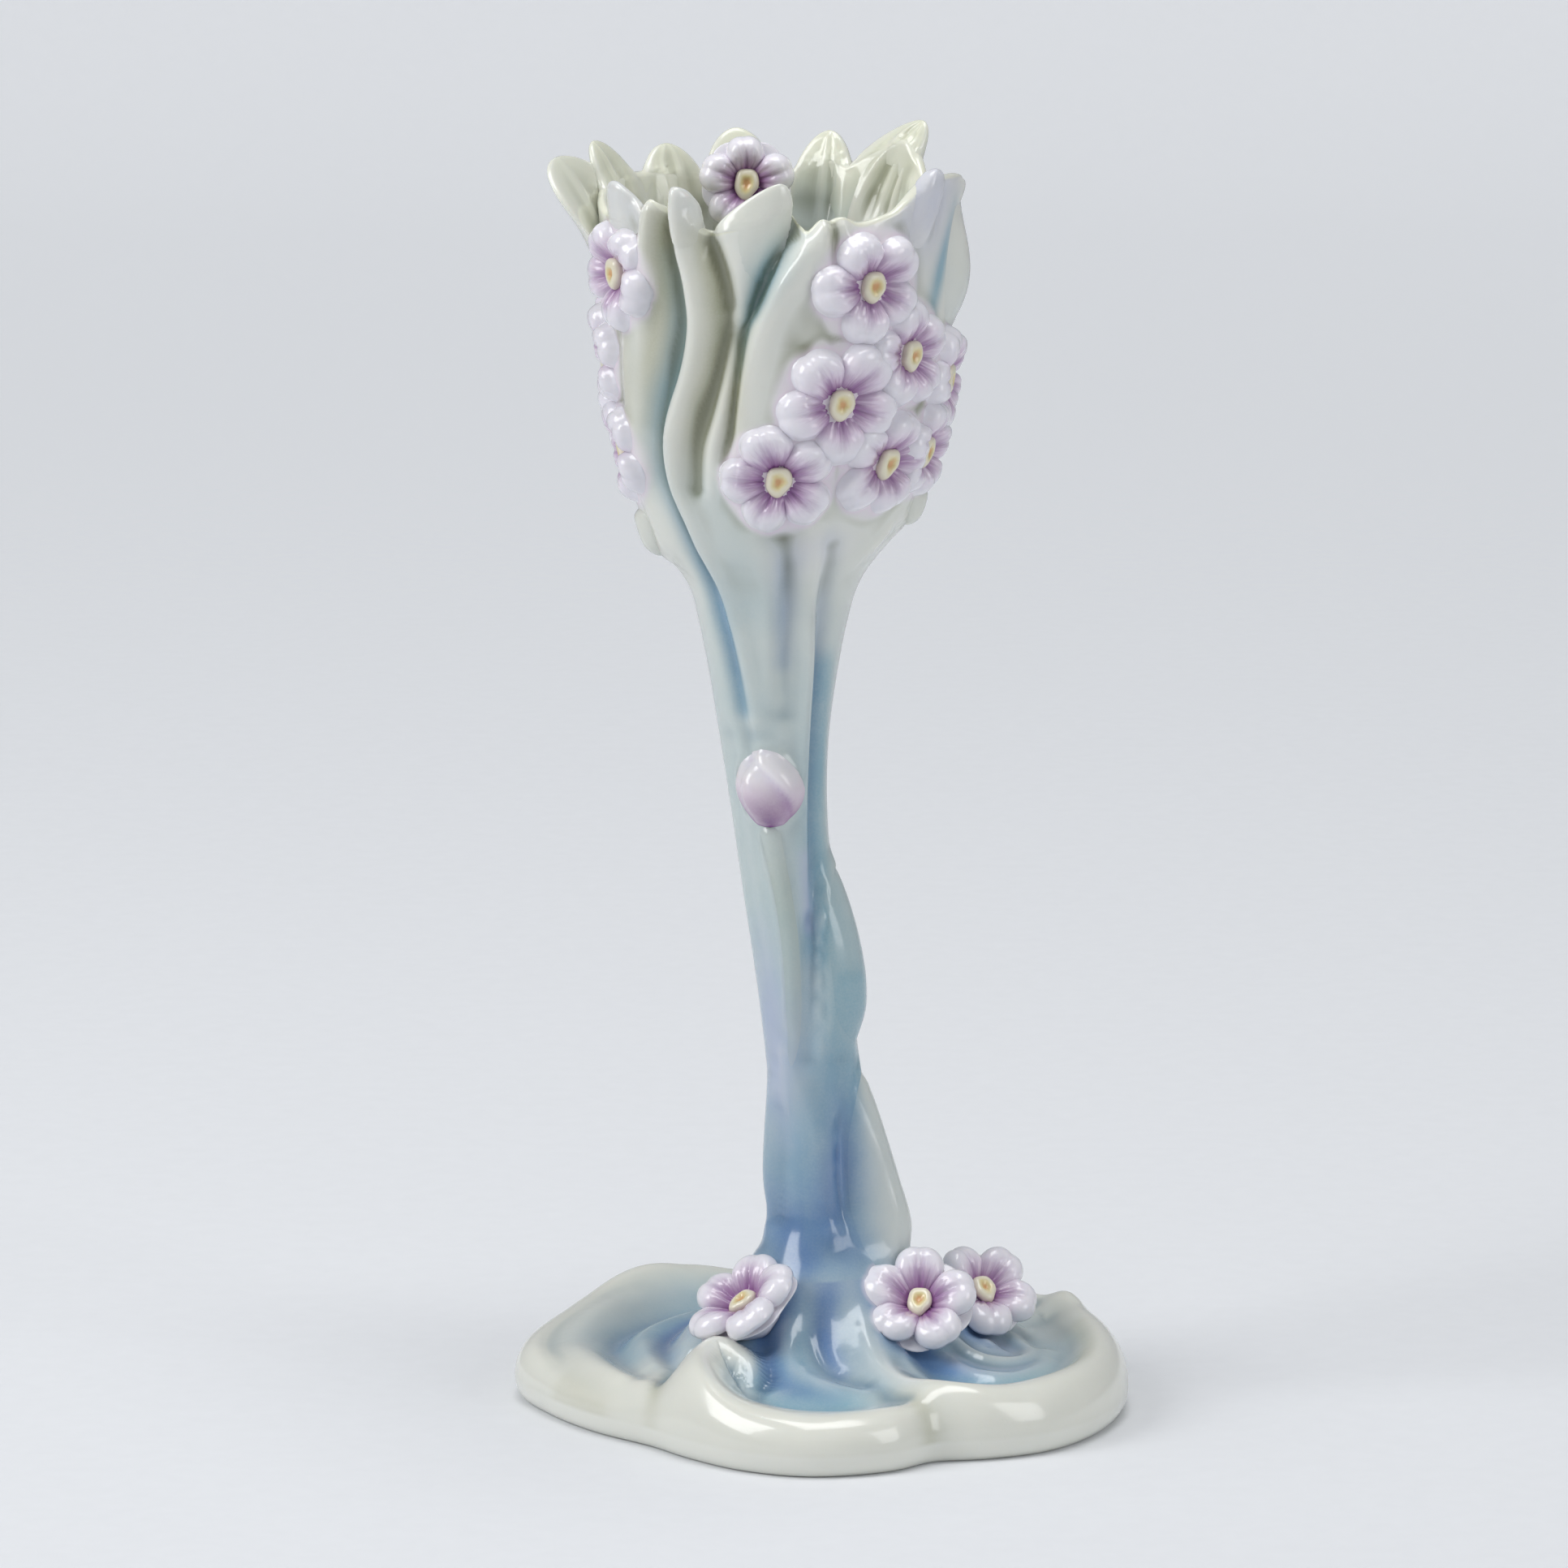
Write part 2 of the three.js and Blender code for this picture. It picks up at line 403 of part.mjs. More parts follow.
// Blade of a leaf: its line runs from root to tip in azimuth and height, its section is a flat ellipse.
// surface(azimuth, z) is the radius that its line follows
function blade(leaf, surface, grow = 0) {
  const { root, tip, width, thickness = LEAF_THICKNESS, flare = 0, lift = 0, curl = 0, blunt = 2.2 } = leaf;
  const { rootShare = 0.8 } = leaf; // width at the root as a share of the full width
  const rings = BLADE_STATIONS.map((u) => {
    const azimuth = lerp(root[0], tip[0], u ** 1.2);
    const z = lerp(root[1] - grow, tip[1] + grow, u);
    const opening = lerp(rootShare, 1, Math.sin((Math.min(u / 0.32, 1) * Math.PI) / 2));
    const half = (width / 2) * (1 - u ** blunt) ** 0.7 * opening;
    const thick = (thickness / 2) * Math.sqrt(1 - u ** 6);
    return ringOf(LEAF_SIDES, (turn) => {
      const across = Math.cos(radians(turn));
      const offset = lift + flare * u ** 2 + curl * across ** 2;
      const line = surface(azimuth, z) + offset;
      const swing = THREE.MathUtils.radToDeg(((half + grow) * across) / line);
      return polar(azimuth + swing, line + (thick + grow) * Math.sin(radians(turn)), z, axisX(z));
    });
  });
  return ringSolid(rings);
}

// Rim leaves: root and tip are [azimuth, height above the mean rim]
const RIM_LEAVES = {
  left_spoon: { root: [-96, -20], tip: [-90, 7], width: 19, flare: 7.2, lift: 0.5, curl: -2.5, blunt: 3 },
  left_back: { root: [-114, -9], tip: [-106, 8.5], width: 18, flare: 2, curl: -1, blunt: 1.8 },
  back_left: { root: [-141, -9], tip: [-143, 6.6], width: 14, flare: 1, curl: -0.8, blunt: 2.4 },
  back_middle: { root: [-168, -9], tip: [-167, 8.6], width: 15, flare: 1, curl: -0.8, blunt: 2 },
  back_right: { root: [164, -9], tip: [161, 8.2], width: 14, flare: 1, curl: -0.8, blunt: 2.2 },
  tall_right: { root: [146, -9], tip: [132, 11.4], width: 20, flare: 2, curl: -0.8, blunt: 1.8 },
  right_large: { root: [92, -26], tip: [80, 5], width: 24, flare: 1, lift: 1, curl: -1.5, blunt: 3 },
  right_finger: { root: [40, -4], tip: [53, 7.2], width: 9, flare: 1.5, lift: 0.6, blunt: 3 },
  front_middle: { root: [-9, -16], tip: [1, 6], width: 15, lift: -1.4, flare: 1.5, curl: -0.6 },
  front_finger: { root: [-29, -5], tip: [-31, 5], width: 5.5, flare: 0.5, lift: 0.5, blunt: 3.5 },
  left_front: { root: [-58, -8], tip: [-56, 5], width: 11, flare: 1.5, curl: -0.8 },
};
const cupLine = (azimuth, z) => {
  const t = (z - CUP_FOOT_HEIGHT) / CUP_HEIGHT;
  return bowlRadius(t) - wallAt(z) / 2;
};

// Primroses. The outline's notches and the domes of the petals repeat around the centre.
// toWall(x, y, height) places a point of the flower that lies x across, y up and height off its seat
// edge is how far the petals' rims reach back; the boss behind them reaches back to seat
function corolla(radius, turn, toWall, grow = 0, seat = 2.1, edge = 2) {
  const sides = PETALS * FACETS_PER_PETAL;
  const petalAt = (angle) => Math.abs(((angle * PETALS) / 360) % 1 - 0.5) * 2; // 0 mid-petal, 1 at the gap
  const ring = (share, low) => ringOf(sides, (angle) => {
    const notching = petalAt(angle);
    const notch = 1 - 0.2 * notching ** 3 - 0.05 * (1 - notching) ** 3;
    const reach = radius * notch * share + grow;
    const dome = Math.sin(Math.PI * Math.min(share, 0.97) ** 1.3) * 0.55 + 0.4;
    const crown = PETAL_THICKNESS * dome * (1 - 0.25 * notching);
    const heading = radians(angle + turn);
    return toWall(reach * Math.sin(heading), reach * Math.cos(heading), low ? -edge - grow : crown + grow);
  });
  const flat = ringOf(sides, (angle) => {
    const heading = radians(angle + turn);
    const reach = CENTRE_RADIUS + 0.3;
    return toWall(reach * Math.sin(heading), reach * Math.cos(heading), CENTRE_SEAT + grow);
  });
  const back = ringOf(sides, (angle) => {
    const heading = radians(angle + turn);
    const reach = radius * BACK_SHARE + grow;
    return toWall(reach * Math.sin(heading), reach * Math.cos(heading), -seat - grow);
  });
  return ringSolid([back, ring(1, true), ring(1, false), ring(0.62, false), flat]);
}

function flowerCentre(toWall, grow = 0) {
  const rings = [[1, 0], [1, 0.45], [0.6, 1]].map(([width, rise]) => ringOf(8, (angle) => {
    const reach = CENTRE_RADIUS * width + grow;
    const height = CENTRE_SEAT + LUTING_GAP + CENTRE_HEIGHT * rise + (rise === 0 ? -grow : grow);
    return toWall(reach * Math.sin(radians(angle)), reach * Math.cos(radians(angle)), height);
  }));
  return ringSolid(rings);
}

// Flowers on the outside of the cup: azimuth, t, radius, turn of the first gap
const CUP_FLOWERS = {
  right_top: [31, 0.835, 9.6, 10],
  right_middle: [48, 0.655, 9, 30],
  right_large: [21, 0.55, 10.4, 0],
  right_low: [0, 0.36, 9.2, 20],
  right_lower: [43, 0.39, 9.2, 50],
  right_side: [80, 0.57, 9, 15],
  right_side_low: [67, 0.4, 8, 40],
  left_top: [-63, 0.845, 9.2, 5],
  left_middle: [-88, 0.62, 8.6, 30],
  left_side: [-112, 0.79, 8.6, 50],
  left_low: [-82, 0.385, 9, 10],
  left_lower: [-108, 0.46, 8.4, 35],
};
const onCup = (azimuth, t) => (x, y, height) => {
  const z = CUP_FOOT_HEIGHT + t * CUP_HEIGHT + y;
  const smooth = bowlRadius((z - CUP_FOOT_HEIGHT) / CUP_HEIGHT);
  const direction = azimuth + THREE.MathUtils.radToDeg(x / bowlRadius(t));
  return polar(direction, Math.max(smooth, cupRadius(direction, z)) + height, z, axisX(z));
};

// A flower that stands free of the wall has a stiff frame: its place, the way it faces and its up
function onFrame(place, facing) {
  const normal = new THREE.Vector3(...facing).normalize();
  const across = new THREE.Vector3(0, 0, 1).cross(normal).normalize();
  const up = normal.clone().cross(across);
  return (x, y, height) => place.clone()
    .addScaledVector(across, x).addScaledVector(up, y).addScaledVector(normal, height);
}

// Pieces on the stem: onStem places a point x across, y up and height off the stem's surface
const onStem = (azimuth, t) => (x, y, height) => {
  const z = STEM_FOOT_HEIGHT + t * STEM_LENGTH + y;
  const direction = azimuth + THREE.MathUtils.radToDeg(x / STEM_RADIUS);
  return polar(direction, stemRadius(direction, z) + height, z, axisX(z));
};

// Bud: plump below the middle, drawn in to a tip above
const BUD_PLACE = { azimuth: -12, t: 0.737 };
function buildBud() {
  const place = onStem(BUD_PLACE.azimuth, BUD_PLACE.t);
  return ringSolid(steps(7).map((s) => {
    const swell = Math.sin(Math.PI * lerp(0.06, 0.94, s) ** 0.85);
    return ringOf(12, (turn) => place(
      (BUD_WIDTH / 2) * swell * Math.cos(radians(turn)),
      (s - 0.5) * BUD_LENGTH,
      BUD_RISE * swell * Math.sin(radians(turn)),
    ));
  }));
}

// Stalk of the bud: [azimuth, share of the way] from the bud down to where it sinks into the stem
const STALK_LINE = [
  [-12, 0], [-9, 0.1], [-6, 0.22], [-6, 0.37], [-10, 0.54], [-17, 0.71], [-24, 0.85], [-31, 1],
];
const STALK_END = 0.26; // t on the stem
function buildStalk() {
  const start = BUD_PLACE.t - (BUD_LENGTH / 2 + LUTING_GAP) / STEM_LENGTH;
  return ringSolid(STALK_LINE.map(([azimuth, share]) => {
    const radius = STALK_RADIUS * (1 - 0.35 * share);
    const place = onStem(azimuth, lerp(start, STALK_END, share));
    return ringOf(8, (turn) => place(radius * Math.cos(radians(turn)), 0, radius * Math.sin(radians(turn))));
  }));
}

// Root leaf: a ridge on the right of the stem that runs out over the base,
// as [azimuth, t, half-width, share of the spread]
const ROOT_LINE = [
  [88, 0.31, 1.5, 0.11], [84, 0.25, 3.5, 0.36], [82, 0.2, 4.5, 0.53], [82, 0.14, 5, 0.73],
  [82, 0.08, 5.4, 0.93], [82, 0.04, 5.4, 1], [82, -0.04, 5.2, 1],
];
function buildRootLeaf(grow = 0) {
  return ringSolid(ROOT_LINE.map(([azimuth, t, half, share]) => {
    const z = STEM_FOOT_HEIGHT + t * STEM_LENGTH;
    const reach = share * ROOT_SPREAD + grow;
    return ringOf(10, (turn) => {
      const across = (half + grow) * Math.cos(radians(turn));
      const out = STEM_RADIUS + (reach + 1) * Math.sin(radians(turn)) - 1;
      const [sin, cos] = [Math.sin(radians(azimuth)), Math.cos(radians(azimuth))];
      return new THREE.Vector3(axisX(z) + out * sin + across * cos, across * sin - out * cos, z);
    });
  }));
}

const stemLine = (azimuth, z) => stemRadius(azimuth, z);
const stemZ = (t) => STEM_FOOT_HEIGHT + t * STEM_LENGTH;
const STEM_LEAF = {
  root: [66, stemZ(0.3)],
  tip: [92, stemZ(0.61)],
  width: 13,
  thickness: 4.4,
  lift: -0.2,
  blunt: 2.6,
  rootShare: 0.35,
};

// Lips of leaf under the flower clusters: they hang down and stand off the wall
const cupZ = (t) => CUP_FOOT_HEIGHT + t * CUP_HEIGHT;
const LIPS = {
  lip_left: { root: [-86, cupZ(0.24)], tip: [-84, cupZ(0.1)], width: 10, flare: 2.4, lift: 0.5 },
  lip_right: { root: [80, cupZ(0.29)], tip: [80, cupZ(0.19)], width: 11, flare: 3, lift: 0.6 },
};
const LIP_SHAPE = { thickness: 3, blunt: 3 };

// Flowers that stand free: the way they face, radius, turn of the first gap, depth of the boss behind.
// The inner one stands off the back wall of the bowl, level with the rim
const INNER_FLOWER = { azimuth: -167, standoff: 5, facing: [0.02, -1, 0.1], radius: 8.2, turn: 36, seat: 7 };
// Those on the base lie beyond the stem's foot, and rise off the base
const BASE_FLOWERS = {
  base_left: {
    azimuth: -35, beyond: 4.9, rise: 3.1, facing: [-0.5, -0.4, 0.8], radius: 9, turn: 10, seat: 5.2,
  },
  base_right: {
    azimuth: 57.7, beyond: 6.6, rise: 5, facing: [-0.05, -0.72, 0.7], radius: 9, turn: 36, seat: 8,
  },
  base_far: {
    azimuth: 101.3, beyond: 14.9, rise: 3.1, facing: [0.35, -0.55, 0.75], radius: 8.6, turn: 20, seat: 5,
  },
};

const base = addPiece('base', buildBase(), paleBlue);
const stem = addPiece('stem', buildStem(), paleBlue);
const cup = addPiece('cup', buildCup(), ivory);
const cupAndGap = buildCup(LUTING_GAP);
const stemAndGap = buildStem(LUTING_GAP);

const rimZ = CUP_FOOT_HEIGHT + CUP_HEIGHT;
let leavesAndGap = cupAndGap;
for (const [name, leaf] of Object.entries(RIM_LEAVES)) {
  const placed = { ...leaf, root: [leaf.root[0], rimZ + leaf.root[1]], tip: [leaf.tip[0], rimZ + leaf.tip[1]] };
  addPiece(`leaf_${name}`, blade(placed, cupLine).subtract(leavesAndGap), ivory);
  leavesAndGap = leavesAndGap.add(blade(placed, cupLine, LUTING_GAP));
}

// Petals make room for the flowers that were laid before them, and for the centres of all the others
let flowersAndGap = leavesAndGap;
for (const [name, [azimuth, t, radius, turn]] of Object.entries(CUP_FLOWERS)) {
  const wall = onCup(azimuth, t);
  let petals = corolla(radius, turn, wall).subtract(flowersAndGap);
  for (const [other, [otherAzimuth, otherT]] of Object.entries(CUP_FLOWERS)) {
    if (other !== name) petals = petals.subtract(flowerCentre(onCup(otherAzimuth, otherT), LUTING_GAP));
  }
  addPiece(`primrose_${name}`, petals, lilac);
  addPiece(`centre_${name}`, flowerCentre(wall), paleYellow);
  flowersAndGap = flowersAndGap.add(corolla(radius, turn, wall, LUTING_GAP));
}

const cupSeatsAndGap = leavesAndGap;
for (const [name, lip] of Object.entries(LIPS)) {
  addPiece(name, blade({ ...lip, ...LIP_SHAPE }, cupRadius).subtract(flowersAndGap), ivory);
}

const innerReach = bowlRadius(1) - RIM_WALL - INNER_FLOWER.standoff;
const innerPlace = polar(INNER_FLOWER.azimuth, innerReach, rimZ, axisX(rimZ));
const inner = onFrame(innerPlace, INNER_FLOWER.facing);
const innerSolid = corolla(INNER_FLOWER.radius, INNER_FLOWER.turn, inner, 0, INNER_FLOWER.seat, FREE_EDGE);
addPiece('primrose_inner', innerSolid.subtract(cupSeatsAndGap), lilac);
addPiece('centre_inner', flowerCentre(inner), paleYellow);

let lowerAndGap = stemAndGap.add(buildBase(LUTING_GAP));
addPiece('root_leaf', buildRootLeaf().subtract(lowerAndGap), paleBlue);
lowerAndGap = lowerAndGap.add(buildRootLeaf(LUTING_GAP));
addPiece('stem_leaf', blade(STEM_LEAF, stemLine).subtract(lowerAndGap), paleBlue);
addPiece('bud_stalk', buildStalk().subtract(lowerAndGap), paleBlue);
addPiece('bud', buildBud().subtract(lowerAndGap), lilac);
for (const [name, flower] of Object.entries(BASE_FLOWERS)) {
  const { azimuth, beyond, rise, facing, radius, turn, seat } = flower;
  const reach = FOOT_RADIUS + beyond;
  const frame = onFrame(polar(azimuth, reach, baseSurface(azimuth, reach) + rise), facing);
  addPiece(`primrose_${name}`, corolla(radius, turn, frame, 0, seat, FREE_EDGE).subtract(lowerAndGap), lilac);
  addPiece(`centre_${name}`, flowerCentre(frame), paleYellow);
  lowerAndGap = lowerAndGap.add(corolla(radius, turn, frame, LUTING_GAP, seat, FREE_EDGE));
}

export default candleHolder;
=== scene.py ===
# %% [markdown]
# Porcelain candle holder: a cup of upright leaves on a leaning stem, a base of curling waves, and primroses
# stuck all over them. The real one is slip-cast in parts, joined with wet slip, sprayed with pale colours
# and glazed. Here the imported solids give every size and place, and each of them gets a finely modelled
# piece.

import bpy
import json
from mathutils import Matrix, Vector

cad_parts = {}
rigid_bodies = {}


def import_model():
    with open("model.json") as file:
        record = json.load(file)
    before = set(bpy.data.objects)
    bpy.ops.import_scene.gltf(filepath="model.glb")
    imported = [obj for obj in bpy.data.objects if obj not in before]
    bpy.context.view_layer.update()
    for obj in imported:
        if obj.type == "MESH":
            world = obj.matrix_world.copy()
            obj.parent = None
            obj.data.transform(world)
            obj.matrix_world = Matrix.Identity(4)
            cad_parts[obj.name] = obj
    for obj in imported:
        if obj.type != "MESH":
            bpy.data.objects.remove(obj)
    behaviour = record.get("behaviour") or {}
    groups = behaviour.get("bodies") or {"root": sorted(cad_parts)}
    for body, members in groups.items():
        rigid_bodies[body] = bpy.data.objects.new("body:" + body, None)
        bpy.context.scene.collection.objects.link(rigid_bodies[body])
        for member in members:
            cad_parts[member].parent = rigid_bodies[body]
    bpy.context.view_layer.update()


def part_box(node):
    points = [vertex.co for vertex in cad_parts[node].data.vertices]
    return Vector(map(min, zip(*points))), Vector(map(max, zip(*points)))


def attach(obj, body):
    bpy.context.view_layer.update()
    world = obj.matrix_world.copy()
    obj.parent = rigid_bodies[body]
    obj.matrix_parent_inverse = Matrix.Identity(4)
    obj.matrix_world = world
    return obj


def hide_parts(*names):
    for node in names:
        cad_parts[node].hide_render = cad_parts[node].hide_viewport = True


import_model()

# %% Modules, and the sizes that the solids give
import json
import math

import bpy
import numpy as np
from mathutils.bvhtree import BVHTree

MM = 0.001
COLUMNS = 400  # points round the base, stem and cup
STEM_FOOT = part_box("base")[1].z / MM  # joint of base and stem
CUP_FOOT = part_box("cup")[0].z / MM  # joint of stem and cup
STEM_LENGTH = CUP_FOOT - STEM_FOOT
CUP_HEIGHT = 68.0  # to the mean rim
RIM_Z = CUP_FOOT + CUP_HEIGHT
print("joints at", round(STEM_FOOT, 2), "and", round(CUP_FOOT, 2), "mm, mean rim at", round(RIM_Z, 2))

# %% [markdown]
# Soft modelled clay has no straight lines: every outline here is a smooth curve through a few stations, and
# every ridge and groove is a stroke, as if drawn with a finger. A stroke is a line of points with a
# half-width and a height, and its profile is a bell curve. The left side of a stroke can be wider than its
# right side, which makes the folded-over edge of a leaf.

# %% Smooth curves
def smoothstep(low, high, x):
    """Smooth rise from 0 at low to 1 at high."""
    k = np.clip((x - low) / (high - low), 0, 1)
    return k * k * (3 - 2 * k)


def along(stations, position):
    """Smooth curve through stations (position, value)."""
    xs, ys = np.array(stations, float).T
    slope = np.empty(len(xs))
    slope[1:-1] = (ys[2:] - ys[:-2]) / (xs[2:] - xs[:-2])
    slope[0] = (ys[1] - ys[0]) / (xs[1] - xs[0])
    slope[-1] = (ys[-1] - ys[-2]) / (xs[-1] - xs[-2])
    x = np.clip(position, xs[0], xs[-1])
    i = np.clip(np.searchsorted(xs, x, side="right") - 1, 0, len(xs) - 2)
    span = xs[i + 1] - xs[i]
    k = (x - xs[i]) / span
    value = ys[i] * (2 * k**3 - 3 * k**2 + 1) + ys[i + 1] * (3 * k**2 - 2 * k**3)
    return value + slope[i] * span * (k**3 - 2 * k**2 + k) + slope[i + 1] * span * (k**3 - k**2)


def around(stations, azimuth):
    """The same for a closed curve, with stations in degrees."""
    first, last = stations[0], stations[-1]
    closed = [(last[0] - 360, last[1]), *stations, (first[0] + 360, first[1])]
    return along(closed, first[0] + np.mod(azimuth - first[0], 360))


# %% Strokes
STROKE_REACH = 2.6  # a stroke has died out at this many half-widths


def finer(line, steps=5):
    """Smooth curve through the points of a stroke, as points at close intervals."""
    line = np.array(line, float)
    at = np.arange(len(line))
    fine = np.linspace(0, len(line) - 1, (len(line) - 1) * steps + 1)
    return np.stack([along(np.stack([at, column], axis=1), fine) for column in line.T], axis=1)


def brush(strokes, u, v, scale_u=1.0, wrap=False):
    """Sum of the strokes at the points (u, v). A stroke is a list of (u, v, half-width, height)."""
    u, v, scale_u = np.broadcast_arrays(u, v, scale_u)
    shape = u.shape
    u, v, scale_u = u.ravel(), v.ravel(), scale_u.ravel()
    total = np.zeros(u.shape)
    for line in strokes:
        side = 1.0
        if isinstance(line[0], (int, float)):
            side, line = line[0], line[1:]
        line = finer(line)
        origin = line[0][0]
        du = u - origin
        if wrap:
            du = np.mod(du + 180, 360) - 180
        reach = STROKE_REACH * line[:, 2].max() * max(side, 1)
        low, high = line.min(axis=0), line.max(axis=0)
        near = (v > low[1] - reach) & (v < high[1] + reach)
        near &= (du * scale_u > (low[0] - origin) * scale_u - reach) & (
            du * scale_u < (high[0] - origin) * scale_u + reach)
        near = np.nonzero(near)[0]
        scale, py = scale_u[near], v[near]
        px = du[near] * scale
        nearest = np.full(px.shape, np.inf)
        height = np.zeros(px.shape)
        for a, b in zip(line, line[1:]):
            ax, bx = (a[0] - origin) * scale, (b[0] - origin) * scale
            dx, dy = bx - ax, b[1] - a[1]
            k = np.clip(((px - ax) * dx + (py - a[1]) * dy) / (dx * dx + dy * dy + 1e-9), 0, 1)
            ox, oy = px - ax - k * dx, py - a[1] - k * dy
            width = a[2] + (b[2] - a[2]) * k
            width = width * np.where(dx * oy - dy * ox > 0, side, 1)
            distance = np.hypot(ox, oy) / width
            closer = distance < nearest
            nearest = np.where(closer, distance, nearest)
            height = np.where(closer, a[3] + (b[3] - a[3]) * k, height)
        total[near] += height * np.exp(-nearest * nearest)
    return total.reshape(shape)


# %% [markdown]
# The base is a plan outline of rounded lobes with a rolled rim. Inside the rim it drops to shallow hollows,
# and rises again to the foot of the stem. The waves are strokes on that surface.

# %% Base: sizes
BASE_RADIUS = 51.9
BASE_RIM_HEIGHT = 10.5
BASE_FLOOR_HEIGHT = 8.0
BASE_EQUATOR = 4.2
RIM_ROUNDING = 5.0
RIM_FALL = 6.5
FOOT_ROUNDING = 2.4
FOOT_RING_WIDTH = 7.0
FOOT_RECESS = 1.8
FOOT_RADIUS = 13.0
MOUND_FALL = 9.0
WAVES_BEGIN = (FOOT_RADIUS - 1, FOOT_RADIUS + 6)  # the waves grow between these radii
BASE_OUTLINE = [
    (-165, 0.98), (-138, 1.03), (-118, 1.005), (-95, 1.01), (-80, 0.93), (-64, 0.865), (-45, 0.82),
    (-30, 0.87), (-15, 0.945), (-2, 0.98), (14, 0.94), (25, 0.875), (36, 0.93), (50, 0.995), (75, 1.01),
    (105, 1), (120, 1), (138, 0.94), (155, 0.97),
]
BASE_RIM_RISE = [
    (-165, 1.5), (-143, 4.6), (-125, 2), (-95, -0.5), (-60, -1.5), (-32, 0.2), (0, -1), (20, -0.5),
    (50, 0.7), (80, 1), (110, 2), (135, 1.8), (152, 4), (175, 1.5),
]
# Strokes (x, y, half-width, height); a leading number widens the side that lies left of the stroke's way
WAVES = [
    [(-24, 40, 3.4, -0.5), (-37, 29, 3, -0.8), (-44.5, 15, 2.8, -1), (-46, 2, 2.8, -1),
     (-43.5, -10, 2.8, -1), (-38, -20, 2.6, -0.8), (-33, -27, 2.4, -0.6)],
    [(-21, 35, 3.4, 0.6), (-33, 26, 3.4, 0.9), (-40, 12, 3.4, 1), (-41, 0, 3.4, 1), (-38.5, -11, 3.4, 0.9),
     (-34, -20, 3, 0.7)],
    [(-17, 29, 3, -0.8), (-27, 22, 2.8, -1.1), (-34, 11, 2.6, -1.3), (-35, -1, 2.6, -1.3),
     (-32.5, -12, 2.6, -1.1), (-30, -21, 2.4, -0.7)],
    [(-15, 22, 2.6, 0.6), (-24, 16, 2.6, 0.9), (-30, 6, 2.6, 1), (-30.5, -4, 2.6, 1),
     (-28.5, -14, 2.4, 0.7)],
    [(-13, 15, 2.6, -0.8), (-20, 11, 2.4, -1.1), (-25, 3, 2.2, -1.3), (-26.5, -6, 2.2, -1.2),
     (-25, -14, 2.2, -1)],
    [(-12, 8, 2, 0.6), (-17, 5, 2, 0.9), (-21, -1, 2, 0.9), (-23, -8, 2, 0.6)],
    [(-4, -14, 2.2, -1), (-9, -12.5, 2.2, -2.4), (-15, -11.5, 2.2, -3), (-20, -13, 2.2, -3),
     (-23.5, -18, 2, -3), (-26, -25, 2.3, -2), (-27, -29, 2.8, -0.9), (-27.5, -32.5, 3.4, -0.2)],
    [1.1, (-11, -30, 2.2, 1), (-12, -26.5, 3, 3), (-14.5, -23.5, 3.8, 4.8), (-18, -22, 4.2, 6),
     (-20, -26, 4.6, 5.4), (-20.5, -32, 4.6, 4), (-20, -39, 4.8, 2.2), (-18, -46, 5, 0.6)],
    [(-9, -27, 1.8, -0.6), (-10.5, -33, 2.2, -1.4), (-6, -36.5, 2.8, -1.8), (4, -38.5, 3.2, -1.2),
     (12, -38, 3.4, -0.7)],
    [(-4, -12, 2.2, 0.6), (-6, -19, 2.2, 1), (-4.5, -26, 2.4, 1.2), (1, -31, 2.6, 1), (8, -33.5, 2.8, 0.6)],
    [(-8, -9, 2.4, -0.8), (-9.5, -14, 2.2, -1), (-9, -19, 2, -0.8)],
    [(1, -12, 2, -0.6), (-1, -18, 2, -1), (1, -24.5, 2, -1), (7, -29, 2.2, -0.6)],
    [(7, -11, 2.6, 1), (8, -19, 3.2, 1.6), (12, -28, 4, 2), (19, -34.5, 4.4, 1.8), (28, -37.5, 4.4, 1)],
    [(17, -40, 4, -0.1), (14.5, -37.5, 3.4, -0.5), (11, -34, 2.8, -0.7)],
    [1.6, (14, -9, 2.2, -0.8), (16, -16, 2.4, -1.5), (21.5, -22.5, 2.4, -1.8), (30, -25, 2.4, -1.8),
     (37.5, -19, 2.4, -1.6), (41.5, -9, 2.4, -1.4), (42, 4, 2.4, -1.2), (39, 15, 2.4, -0.8)],
    [(21, -15, 1.8, 0.4), (26, -18.5, 1.8, 0.7), (33, -17.5, 1.8, 0.8), (37.5, -10, 1.8, 0.7),
     (38.5, -1, 1.8, 0.5)],
    [(21.5, 0, 1.5, 0.5), (22.5, -7, 1.5, 0.9), (27.5, -11.5, 1.5, 1.1), (33.5, -9, 1.5, 1),
     (35.5, -2.5, 1.5, 0.8), (33, 3, 1.5, 0.6)],
    [(26, -4, 1.3, 0.3), (28, -6.8, 1.3, 0.5), (30.8, -5.4, 1.3, 0.4)],
    [(28.4, -3.6, 1.6, 1), (28.6, -4, 1.6, 1)],
    [(12, -4, 5, 2), (20, 4, 6, 4.5), (28, 9, 6, 4.5)],
    [(-13, -10, 4, 1.5), (-18, -6, 4, 1.5)],
    [(44, 24, 4, 2), (46, 30, 3, 1.5)],
    [(12, 24, 3, -1.2), (24, 28, 3, -1.6), (36, 24, 3, -1.2)],
    [(4, 26, 3, -1.2), (-2, 36, 3, -1.8), (4, 44, 3, -1)],
]


# %% Base: surface
def outline_radius(azimuth):
    return BASE_RADIUS * around(BASE_OUTLINE, azimuth)


